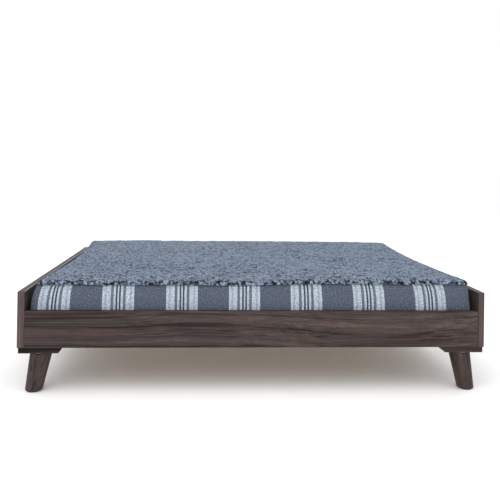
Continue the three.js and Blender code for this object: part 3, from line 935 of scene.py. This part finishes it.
def plain_cloth_material(name, dark, light, uv_name=None, yarns=1200.0):
    """Plain woven cloth of one dye, heathered."""
    material, tree, shader = new_material(name)
    if uv_name:
        place = node(tree, "ShaderNodeUVMap", uv_map=uv_name).outputs[0]
    else:
        place = object_coordinates(tree)
    weave = placed_group(tree, weave_group(), Vector=place, Yarns=yarns)
    colour = ramp(tree, weave.outputs["Heather"], [(0.36, dark), (0.62, light)])
    surface(tree, shader, colour, 0.92, weave.outputs["Height"], 0.0003, 0.6)
    return material


# ---- soft pieces ---------------------------------------------------------------------------


def plush_top(top_slack):
    """Plush pad, crowned, closed and sewn in at the seam.

    The middle is a flat grid of points (x, y), inset from the outline by the corner radius. Past
    it, points go out along the outline's normals, through a rounded shoulder, down to a short
    ragged lip just over the seam, and back under. The underside is a flat fan of the same edge to its middle,
    through one inner ring.
    Every point of the outside is then raised along its normal by curls and noise."""
    s = settings("bed_mattress")
    step = PILE_STEP
    radius = s.corner
    hx, hy = HALF_W - radius, HALF_D - radius
    nx, ny = round(2 * hx / step), round(2 * hy / step)
    arc = 14
    gx, gy = np.linspace(-hx, hx, nx + 1), np.linspace(-hy, hy, ny + 1)
    shoulder_z, lip_z = TOP_HIGH[2] + PAD_RISE, SEAM_Z + LIP_OVER_SEAM

    grid_x, grid_y = np.meshgrid(gx, gy)
    flat = np.stack([grid_x.ravel(), grid_y.ravel(), np.full(grid_x.size, shoulder_z)], 1)
    index = np.arange(grid_x.size).reshape(ny + 1, nx + 1)
    inner_quads = np.stack([index[:-1, :-1], index[:-1, 1:], index[1:, 1:], index[1:, :-1]], -1)
    inner_quads = inner_quads.reshape(-1, 4)

    # The border of the grid, counter-clockwise from the front left corner. A corner point is the
    # foot of a whole fan of outline points, one for each step of the corner's arc.
    fan = np.arange(arc) / arc * np.pi / 2
    feet, normals = [], []
    front, right, back, left = index[0, :], index[:, -1], index[-1, ::-1], index[::-1, 0]
    for line, start in ((front, np.pi), (right, 1.5 * np.pi), (back, 0), (left, np.pi / 2)):
        feet += [np.repeat(line[0], arc), line[:1], line[1:-1]]
        angle = np.concatenate([start + fan, np.full(len(line) - 1, start + np.pi / 2)])
        normals.append(np.stack([np.cos(angle), np.sin(angle)], 1))
    feet, normals = np.concatenate(feet), np.concatenate(normals)
    count = len(feet)
    foot_xy = flat[feet, :2]

    # Profile of the edge: distance out from the grid and height. First level steps, then a
    # quarter-ellipse shoulder, the lip, and a return under it.
    level = np.linspace(0, 1, LEVEL_RINGS + 1)[1:]
    turn = np.linspace(0, np.pi / 2, 9)[1:]
    drop = shoulder_z - lip_z
    level_run = radius - SHOULDER_ROUND
    edge = level_run + (SHOULDER_ROUND + LIP_BULGE) * np.sin(turn)
    out = np.concatenate([level * level_run, edge, [radius + LIP_BULGE - 0.0015, radius - 0.004]])
    fall = shoulder_z - drop * (1 - np.cos(turn))
    height = np.concatenate([np.full(LEVEL_RINGS, shoulder_z), fall, [lip_z - 0.0012, lip_z]])
    rim = foot_xy[None] + out[:, None, None] * normals[None]
    rim = np.concatenate([rim, np.broadcast_to(height[:, None, None], (len(out), count, 1))], 2)
    rim = rim.reshape(-1, 3)
    first = len(flat)
    ring_quads = lattice(len(out), count, True)[0] + first
    c = np.arange(count)
    n = (c + 1) % count
    join = np.stack([feet[c], feet[n], first + n, first + c], 1)
    verts = np.concatenate([flat, rim])

    # The underside is a fan of the last ring to its own middle, through one inner ring.
    last = first + (len(out) - 1) * count
    under = len(verts)
    inner = np.concatenate([foot_xy * 0.97, np.full((count, 1), lip_z)], 1)
    verts = np.concatenate([verts, inner, [[0, 0, lip_z]]])
    under_quads = np.stack([last + c, last + n, under + n, under + c], 1)
    middle = np.full(count, under + count)
    fan_faces = np.stack([under + c, under + n, middle, middle], 1)
    faces = np.concatenate([inner_quads, join, ring_quads, under_quads, fan_faces])

    # Crown, slack waves and the pull of the sides.
    shape = verts.copy()
    outside = np.arange(len(verts)) < last
    top_share = np.clip((shape[:, 2] - lip_z) / drop, 0, 1)
    rise = (1 - (shape[:, 0] / HALF_W) ** 4) * (1 - (shape[:, 1] / HALF_D) ** 4)
    waves = fractal(shape * [1, 1, 0], 0.21, 11, 2) * 0.0016
    shape[:, 2] += top_share * (s.crown * rise + waves * np.clip(rise * 3, 0, 1))
    shape[:, 2] += top_share * sampled(top_slack, top_places(verts), False)
    shape = drawn_in(shape)

    # Pile: outward direction is up on the level part and the edge's own normal on the rim.
    direction = np.tile([0.0, 0.0, 1.0], (len(verts), 1))
    lean = np.concatenate([np.zeros(LEVEL_RINGS), turn, [np.pi / 2 + 0.5, np.pi]])
    upright = np.broadcast_to(np.cos(lean)[:, None, None], (len(out), count, 1))
    rim_dir = np.concatenate([np.sin(lean)[:, None, None] * normals[None], upright], 2)
    direction[first:under] = rim_dir.reshape(-1, 3)
    big, tone = curls(shape, s.tuft, 3)
    small, _ = curls(shape + 0.5, s.tuft * 0.5, 23)
    rough = fractal(shape, 0.006, 31, 2)
    clumps = value_noise(shape, 0.019, 37)
    tall = 0.56 * big + 0.26 * small + 0.14 * rough + 0.10 * clumps
    ragged = np.zeros(len(verts))
    ragged[first:under] = np.repeat(np.clip((out - radius + 0.003) / 0.006, 0, 1), count)
    offset = s.pile * (tall - 0.35) * (1 - 0.15 * ragged)
    offset[~outside] = 0
    shape += direction * offset[:, None]
    hang = np.clip(value_noise(shape, 0.008, 41) + 0.1, 0, 1) * 0.0036 * ragged * outside
    shape[:, 2] -= hang
    # Painted shade on the pad's rounded edge: ragged patches that grow to full strength towards the lip over
    # the seam.
    lip_shade = np.zeros(len(verts))
    lip_shade[first:under] = np.repeat(np.clip((out - radius + 0.012) / 0.012, 0, 1), count)
    lip_shade *= np.clip(value_noise(shape, 0.0065, 61) * 1.6 + 0.35, 0, 1)
    fields = {"pile_height": np.clip(tall, 0, 1), "pile_tone": tone, "pile_lip_shade": lip_shade}
    piece = make_piece("plush_top", shape, faces, points=fields)
    return finish_piece(piece, "mattress", plush_material(), ["cover_top"])


def side_surface(points, normal, run, slack, deeper=0.0):
    """Cloth of the side, from points on the plain outline at their heights: a low swell, the
    simulated slack, puckers that grow towards the top seam, and a tuck at both sewn edges. The
    zip's tape lies flat, so the cloth under it keeps to its plane."""
    share = (points[:, 2] - SIDES_LOW[2]) / (SEAM_Z - SIDES_LOW[2])
    swell = 0.0012 * 4 * share * (1 - share)
    ease = np.clip(np.minimum(share, 1 - share) / 0.12, 0, 1)
    slack = SIDE_SLACK_SHARE * sampled(slack, side_places(points, run), True) * ease
    pucker = 0.0009 * value_noise(points * [1, 1, 0.25], 0.017, 51) * np.clip(share * 1.6 - 0.6, 0, 1) ** 1.5
    tuck = -0.0035 * np.clip((share - 0.95) / 0.08, 0, 1.1) ** 2
    tuck = tuck - 0.002 * np.clip((0.05 - share) / 0.05, 0, 1)
    under_zip = (points[:, 1] > HALF_D - 0.001) * np.clip((points[:, 2] - TAPE_LOW[2] + 0.010) / 0.008, 0, 1)
    under_zip *= np.clip((TAPE_HIGH[0] + 0.02 - np.abs(points[:, 0])) / 0.02, 0, 1)
    outward = (swell + slack + pucker + tuck) * (1 - under_zip)
    n3 = np.concatenate([normal, np.zeros((len(points), 1))], 1)
    return drawn_in(points + n3 * (outward - deeper)[:, None])


def striped_sides(slack):
    """Boxing strip: the side surface from the base seam to the top seam, with an inner wall of
    the same grid a little further in, the two joined along both edges."""
    stripes = settings("bed_stripes")
    xy, normal, run = outline(STRIP_STEP)
    count, rows = len(xy), STRIP_ROWS
    low, high = SIDES_LOW[2] + 0.001, SEAM_Z + STRIP_OVER_SEAM
    z = np.linspace(low, high, rows)
    plain = np.concatenate([np.tile(xy, (rows, 1)), np.repeat(z, count)[:, None]], 1)
    normals, runs = np.tile(normal, (rows, 1)), np.tile(run[:-1], rows)
    outer = side_surface(plain, normals, runs, slack)
    inner = side_surface(plain, normals, runs, slack, STRIP_WALL)
    loop = np.concatenate([outer.reshape(rows, count, 3), inner.reshape(rows, count, 3)[::-1]])
    verts = loop.reshape(-1, 3)
    quads, places = lattice(2 * rows, count, True)
    c = np.arange(count)
    n = (c + 1) % count
    end = (2 * rows - 1) * count
    close = np.stack([end + c, end + n, n, c], 1)
    # The pattern's zero is where the outline crosses the middle of the front.
    on_front = xy[:, 1] < -HALF_D + 1e-5
    zero = np.interp(0.0, xy[on_front, 0], run[:-1][on_front]) + stripes.centre
    heights = np.concatenate([z, z[::-1]])
    along = run - zero
    along = along + np.interp(along, *np.transpose(SEWN_UNEVEN))
    uv = np.stack([along[places[:, :, 1]], heights[places[:, :, 0]]], 2)
    close_uv = np.stack([along[np.stack([c, c + 1, c + 1, c], 1)], np.full((count, 4), low)], 2)
    faces = np.concatenate([quads, close])
    piece = make_piece("striped_sides", verts, faces, uv=np.concatenate([uv, close_uv]))
    return finish_piece(piece, "mattress", stripe_material(), ["cover_sides"])


def side_stitches(slack):
    """Lockstitch under the top seam: one thin spindle for each stitch, from its place on the side
    surface most of the way to the next."""
    xy, normal, run = outline(STITCH_PITCH, arc=10)
    height = np.full((len(xy), 1), SEAM_Z - STITCH_UNDER_SEAM)
    plain = np.concatenate([xy, height], 1)
    here = side_surface(plain, normal, run[:-1], slack, -0.0002)
    there = here + STITCH_SHARE * (np.roll(here, -1, 0) - here)
    n3 = np.concatenate([normal, np.zeros((len(xy), 1))], 1)
    clear = np.abs(plain[:, 0]) > TAPE_HIGH[0]
    keep = clear | (plain[:, 1] < 0)
    here, there, n3 = here[keep], there[keep], n3[keep]
    t = np.array([0.0, 0.25, 0.75, 1.0])
    thick = STITCH_RADIUS * np.array([0.4, 1.0, 1.0, 0.4])
    turn = np.arange(6) / 6 * TAU
    up = np.array([0.0, 0.0, 1.0])
    spine = here[:, None] + t[None, :, None] * (there - here)[:, None]
    ring = np.cos(turn)[None, :, None] * n3[:, None] + np.sin(turn)[None, :, None] * up
    rings = spine[:, :, None] + thick[None, :, None, None] * ring[:, None]
    verts, faces = joined([capped_tube(r) for r in rings])
    piece = make_piece("side_stitches", verts, faces)
    material = plain_cloth_material("Slate Thread", (0.06, 0.07, 0.095), (0.15, 0.17, 0.21), yarns=3000.0)
    return finish_piece(piece, "mattress", material)


def foam_form():
    """The foam inside the cover, drawn in as the cover is."""
    low, high = corners("foam_core")
    verts, faces = cover_form(FOAM_INSET, low[2] + 0.0004, high[2] - 0.005, 0.0)
    piece = make_piece("foam_form", verts, faces)
    return finish_piece(piece, "mattress", foam_material(), ["foam_core"])


def base_cloth():
    """Base of the cover: the outline at two heights with a rounded edge between, closed by
    shrinking rings above and below."""
    xy, normal, _ = outline(0.02, arc=8)
    mid, half = (BASE_LOW[2] + BASE_HIGH[2]) / 2, (BASE_HIGH[2] - BASE_LOW[2]) / 2
    turn = np.linspace(-np.pi / 2, np.pi / 2, 7)
    rings = []
    for shrink in (0.25, 0.5, 0.75, 0.97):
        rings.append(np.concatenate([xy * shrink, np.full((len(xy), 1), mid - half)], 1))
    for a in turn:
        edge = xy - normal * half * (1 - np.cos(a))
        rings.append(np.concatenate([edge, np.full((len(xy), 1), mid + half * np.sin(a))], 1))
    for shrink in (0.97, 0.75, 0.5, 0.25):
        rings.append(np.concatenate([xy * shrink, np.full((len(xy), 1), mid + half)], 1))
    verts, faces = capped_tube(np.array(rings))
    piece = make_piece("base_cloth", drawn_in(verts), faces)
    material = plain_cloth_material("Dark Base Cloth", (0.018, 0.022, 0.03), (0.045, 0.052, 0.068))
    return finish_piece(piece, "mattress", material, ["cover_base"])


# ---- legs and fittings ---------------------------------------------------------------------


def leg_surface(sx, ey):
    """Round tapered leg cut level at both ends.

    A point at angle a and height z is foot + t up + r(t) (cos a side + sin a fore), with r(t)
    linear in t, so t = (z - r0 c) / (up_z + k c), where c is the height of the unit ring at that
    angle. Rows run up the outside with a small rounded edge at both ends; the middles close it.
    On the outer half, the top is lowered along a round notch for the plate's tongue."""
    corner = f"{'front' if ey < 0 else 'back'}_{'left' if sx < 0 else 'right'}"
    low, high = corners(f"leg_{corner}")
    glide_low, glide_high = corners(f"foot_glide_{corner}")
    plate_low, plate_high = corners(f"leg_plate_{corner}")
    foot = np.array([*(glide_low + glide_high)[:2] / 2, 0.0])
    top_x = (plate_low[0] + plate_high[0]) / 2
    up = np.array([top_x, foot[1], high[2]]) - foot
    length = np.linalg.norm(up)
    up /= length
    side = np.cross([0.0, 1.0, 0.0], up)
    fore = np.array([0.0, 1.0, 0.0])
    r_top = (high[1] - low[1]) / 2
    r_foot = LEG_FOOT_RADIUS
    k = (r_top - r_foot) / length

    edge = 0.0028
    turn = np.linspace(0, np.pi / 2, 7)
    lift = low[2] + edge * (1 - np.cos(turn))
    tuck = edge * (1 - np.sin(turn))
    body = np.linspace(lift[-1], high[2] - 0.0012, 34)[1:]
    z = np.concatenate([[low[2]] * 3, lift, body, [high[2] - 0.0004, high[2]], [high[2]] * 14])
    inset = np.concatenate([np.zeros(3), tuck, np.zeros(len(body)), [0.0003, 0.0010], np.full(14, 0.0010)])
    inset[:3] = edge
    shrink = np.concatenate([[0.3, 0.6, 0.9], np.ones(len(z) - 17), np.linspace(0.96, 0.05, 14)])
    angle = np.linspace(0, TAU, 96, endpoint=False)
    ring = np.cos(angle)[:, None] * side + np.sin(angle)[:, None] * fore
    c = ring[:, 2][None]
    r0 = (r_foot - inset)[:, None]
    t = (z[:, None] - r0 * c) / (up[2] + k * c)
    rings = foot + t[..., None] * up + (r0 + k * t)[..., None] * ring
    centre = foot + (z / up[2])[:, None, None] * up
    rings = centre + (rings - centre) * shrink[:, None, None]

    # Notch: an arc across x, on the outer half only, eased down through the rows below the top.
    across = rings[..., 0] - top_x
    deep = np.sqrt(np.clip(NOTCH_RADIUS**2 - across**2, 0, None)) - (NOTCH_RADIUS - NOTCH_DEPTH)
    outward = np.clip((rings[..., 1] - foot[1]) * ey / 0.004, 0, 1)
    fade = np.clip((rings[..., 2] - (high[2] - 0.016)) / 0.016, 0, 1)
    rings[..., 2] -= np.clip(deep, 0, None) * outward * fade
    verts, faces = capped_tube(rings)
    own = verts - foot
    place = np.stack([own @ up, own @ side, own @ fore], 1) + np.array([sx * 3.1, ey * 1.7, sx * ey * 0.9])
    return corner, verts, faces, place


def zip_coil():
    """Coil of the zip: a low rounded bar for each tooth, leaning alternately, along the tape."""
    middle = (TAPE_LOW[2] + TAPE_HIGH[2]) / 2
    count = int((TAPE_HIGH[0] - TAPE_LOW[0] - 0.012) / TOOTH_PITCH)
    x = (np.arange(count) - (count - 1) / 2) * TOOTH_PITCH
    lean = np.where(np.arange(count) % 2, 1.0, -1.0)
    t = np.array([-1.0, -0.8, 0.8, 1.0])
    thick = np.array([0.45, 1.0, 1.0, 0.45])
    turn = np.arange(6) / 6 * TAU
    parts = []
    for place, side in zip(x, lean):
        rings = np.zeros((4, 6, 3))
        rings[:, :, 0] = place + TOOTH_LEAN * side * t[:, None] + TOOTH_RADIUS * thick[:, None] * np.cos(turn)
        rings[:, :, 1] = TAPE_HIGH[1] - 0.0002 + 0.0004 * thick[:, None] * np.sin(turn)
        rings[:, :, 2] = middle + TOOTH_HALF_LENGTH * t[:, None]
        parts.append(capped_tube(rings))
    verts, faces = joined(parts)
    piece = make_piece("zip_coil", verts, faces)
    return finish_piece(piece, "mattress", plain_cloth_material(
        "Zip Coil Nylon", (0.05, 0.058, 0.078), (0.12, 0.135, 0.17), yarns=2500.0))


def screw_head(centre, axis):
    """Pan head: a quarter-round dome from rim to crown, with a crossed recess pressed in its
    middle. The back is sunk a little in the surface it holds."""
    turn = np.linspace(0, np.pi / 2, 8)
    dome = [(SCREW_RADIUS * np.cos(a), SCREW_DOME * np.sin(a)) for a in turn[:-1]]
    profile = [(SCREW_RADIUS, -0.0004), *dome, (0.00005, SCREW_DOME)]
    verts, faces = lathe(profile, (0, 0, 0), (0, 0, 1), sides=40)
    arm = np.minimum(np.abs(verts[:, 0]), np.abs(verts[:, 1]))
    reach = np.hypot(verts[:, 0], verts[:, 1])
    pressed = (arm < 0.0007) & (reach < 0.0027) & (verts[:, 2] > 0)
    verts[pressed, 2] -= RECESS_DEPTH
    axis = np.array(axis, float)
    side = np.cross(axis, [0.0, 0.0, 1.0] if abs(axis[2]) < 0.9 else [1.0, 0.0, 0.0])
    frame_axes = np.stack([side, np.cross(axis, side), axis])
    return verts @ frame_axes + np.asarray(centre), faces


def screws():
    """Screw heads in the cleats' inner faces and under the corner blocks."""
    heads = []
    for name, across, sign, share, count in (
            ("cleat_left", 0, 1, 0.86, 5), ("cleat_right", 0, -1, 0.86, 5),
            ("cleat_front", 1, 1, 0.84, 6), ("cleat_back", 1, -1, 0.84, 6)):
        low, high = corners(name)
        along = 1 - across
        axis, place = [0, 0, 0], [0, 0, (low[2] + high[2]) / 2]
        axis[across] = sign
        place[across] = high[across] if sign > 0 else low[across]
        for run in np.linspace(share * low[along], share * high[along], count):
            place[along] = run
            heads.append(screw_head(tuple(place), axis))
    for name in named("corner_block"):
        low, high = corners(name)
        sx, ey = np.sign(low[0]), np.sign(low[1])
        inner = np.array([min(abs(low[0]), abs(high[0])) * sx, min(abs(low[1]), abs(high[1])) * ey])
        for dx, dy in ((0.016, 0.018), (0.016, 0.094), (0.090, 0.018)):
            heads.append(screw_head((inner[0] + sx * dx, inner[1] + ey * dy, low[2]), (0, 0, -1)))
    verts, faces = joined(heads)
    piece = make_piece("screws", verts, faces)
    return finish_piece(piece, "frame", metal_material("Zinc Screws", (0.6, 0.6, 0.6), 0.32))


# ---- operators -----------------------------------------------------------------------------


class BED_OT_stage(bpy.types.Operator):
    """Floor, sky, soft lights and the camera"""

    bl_idname = "bed.stage"
    bl_label = "Stage"

    def execute(self, context):
        s = context.scene.bed_stage
        context.scene.view_settings.view_transform = "Standard"
        angle = np.linspace(0, TAU, 64, endpoint=False)
        disc = FLOOR_RADIUS * np.stack([np.cos(angle), np.sin(angle), np.zeros(64)], 1)
        verts, faces = capped_tube(np.stack([disc - [0, 0, 0.02], disc]))
        floor = make_piece("floor", verts, faces, smooth=False)
        material, tree, shader = new_material("Pale Floor")
        cloud = noise(tree, object_coordinates(tree), 3.0)
        wire(tree, ramp(tree, cloud, [(0.3, 0.90), (0.7, 0.93)]), shader.inputs["Base Color"])
        shader.inputs["Roughness"].default_value = 0.85
        floor.data.materials.append(material)

        world = bpy.data.worlds.new("Studio")
        world.use_nodes = True
        background = world.node_tree.nodes["Background"]
        background.inputs["Color"].default_value = (1, 1, 1, 1)
        background.inputs["Strength"].default_value = s.sky
        context.scene.world = world
        self.light("key", (-1.3, -2.6, 2.4), 2.6, s.key)
        self.light("overhead", (0.8, -0.8, 2.8), 3.0, s.fill)
        self.light("low front", (0.2, -3.4, 0.42), 1.4, s.low)
        self.light("low back", (0.0, 3.0, 0.42), 1.4, 2.4 * s.low)
        data = bpy.data.lights.new("even", "SUN")
        data.energy, data.angle = s.even, np.radians(SUN_SPREAD)
        lamp = bpy.data.objects.new("even", data)
        lamp.rotation_euler = np.radians(SUN_TURN)
        context.scene.collection.objects.link(lamp)

        data = bpy.data.cameras.new("camera")
        data.sensor_width = 36.0
        data.lens = s.focal
        data.shift_y = s.rise
        data.clip_end = 100
        camera = bpy.data.objects.new("camera", data)
        camera.location = (s.camera[0], FRONT_FACE + s.camera[1], s.camera[2])
        camera.rotation_euler = np.radians(s.turn)
        context.scene.collection.objects.link(camera)
        context.scene.camera = camera
        return {"FINISHED"}

    @staticmethod
    def light(name, place, size, power):
        """Square area light at place, turned to the bed."""
        data = bpy.data.lights.new(name, "AREA")
        data.size, data.energy = size, power
        lamp = bpy.data.objects.new(name, data)
        lamp.location = place
        aim = Vector((0, 0, 0.2)) - lamp.location
        lamp.rotation_euler = aim.to_track_quat("-Z", "Y").to_euler()
        bpy.context.scene.collection.objects.link(lamp)


class BED_OT_boards(bpy.types.Operator):
    """Laminate on the side panels, rail and back panel, and stain on the corner blocks"""

    bl_idname = "bed.boards"
    bl_label = "Boards"

    def execute(self, context):
        for name, *look in (
                ("side_panel_left", "Left Panel Laminate", "y", 1, 0.37),
                ("side_panel_right", "Right Panel Laminate", "y", 1, 1.91),
                ("front_rail", "Front Rail Laminate", "x", None, 0.0),
                ("back_panel", "Back Panel Laminate", "x", None, 2.63)):
            dress([name], board_material(*look))
        dress(named("corner_block"), stain_material("Corner Block Stain", None, 0.62, 0.3, 0.10))
        return {"FINISHED"}


class BED_OT_legs(bpy.types.Operator):
    """Turned legs, each with its own grain, and felt on the glides"""

    bl_idname = "bed.legs"
    bl_label = "Legs"

    def execute(self, context):
        material = stain_material("Leg Walnut Stain", "leg_place", 1.0, 0.5, 0.16)
        for sx in (-1, 1):
            for ey in (-1, 1):
                corner, verts, faces, place = leg_surface(sx, ey)
                piece = make_piece(f"turned_leg_{corner}", verts, faces, points={"leg_place": place})
                finish_piece(piece, "frame", material, [f"leg_{corner}"])
        dress(named("foot_glide"), felt_material())
        return {"FINISHED"}


class BED_OT_fittings(bpy.types.Operator):
    """Finishes of the plates, bolts, cams, studs and brackets"""

    bl_idname = "bed.fittings"
    bl_label = "Metal fittings"

    def execute(self, context):
        dress(named("leg_plate", "beam_bracket"), metal_material("Zinc Plate", (0.34, 0.34, 0.35), 0.5))
        dress(named("leg_bolt", "stud_"), metal_material("Bright Steel", (0.66, 0.66, 0.65), 0.28))
        dress(named("cam_"), metal_material("Die-cast Zinc", (0.5, 0.5, 0.52), 0.45))
        screws()
        return {"FINISHED"}


class BED_OT_deck(bpy.types.Operator):
    """Bare board on the deck and pine on the cleats and beam"""

    bl_idname = "bed.deck"
    bl_label = "Deck"

    def execute(self, context):
        board, pine = ((0.30, 0.21, 0.13), (0.44, 0.33, 0.21)), ((0.42, 0.27, 0.13), (0.62, 0.45, 0.26))
        for names, label, tones, order in (
                (named("deck_"), "Deck Board", board, "yxz"),
                (["cleat_left", "cleat_right", "center_beam"], "Pine, lengthwise", pine, "yxz"),
                (["cleat_front", "cleat_back"], "Pine, crosswise", pine, "xyz")):
            dress(names, raw_wood_material(label, *tones, order))
        return {"FINISHED"}


class BED_OT_cover(bpy.types.Operator):
    """Plush top, striped sides, base cloth, and the foam inside"""

    bl_idname = "bed.cover"
    bl_label = "Mattress cover"

    def execute(self, context):
        side_slack, top_slack = cover_slack()
        plush_top(top_slack)
        striped_sides(side_slack)
        side_stitches(side_slack)
        base_cloth()
        foam_form()
        return {"FINISHED"}


class BED_OT_zip(bpy.types.Operator):
    """Zip tape, slider and pull at the back"""

    bl_idname = "bed.zip"
    bl_label = "Zip"

    def execute(self, context):
        tape = plain_cloth_material("Zip Tape Cloth", (0.03, 0.036, 0.05), (0.07, 0.082, 0.11))
        dress(["zip_tape"], tape)
        zip_coil()
        dress(["zip_slider", "zip_pull"], metal_material("Nickel", (0.5, 0.5, 0.51), 0.3))
        return {"FINISHED"}


class BED_PT_panel(bpy.types.Panel):
    """The bed's steps and settings"""

    bl_label = "Dog Bed"
    bl_idname = "BED_PT_panel"
    bl_space_type = "VIEW_3D"
    bl_region_type = "UI"
    bl_category = "Dog Bed"

    def draw(self, context):
        for operator in OPERATORS:
            self.layout.operator(operator.bl_idname)
        for name, group in GROUPS:
            box = self.layout.box()
            for key in group.__annotations__:
                box.prop(getattr(context.scene, name), key)


GROUPS = [
    ("bed_mattress", BedMattressSettings),
    ("bed_stripes", BedStripeSettings),
    ("bed_finish", BedFinishSettings),
    ("bed_stage", BedStageSettings),
]
OPERATORS = [BED_OT_stage, BED_OT_boards, BED_OT_legs, BED_OT_fittings, BED_OT_deck, BED_OT_cover, BED_OT_zip]


def register():
    for name, group in GROUPS:
        bpy.utils.register_class(group)
        setattr(bpy.types.Scene, name, bpy.props.PointerProperty(type=group))
    for cls in (*OPERATORS, BED_PT_panel):
        bpy.utils.register_class(cls)


def unregister():
    for cls in (BED_PT_panel, *reversed(OPERATORS)):
        bpy.utils.unregister_class(cls)
    for name, group in reversed(GROUPS):
        delattr(bpy.types.Scene, name)
        bpy.utils.unregister_class(group)


def main():
    register()
    bpy.ops.bed.stage()
    bpy.ops.bed.boards()
    bpy.ops.bed.legs()
    bpy.ops.bed.fittings()
    bpy.ops.bed.deck()
    bpy.ops.bed.cover()
    bpy.ops.bed.zip()


if __name__ == "__main__":
    main()
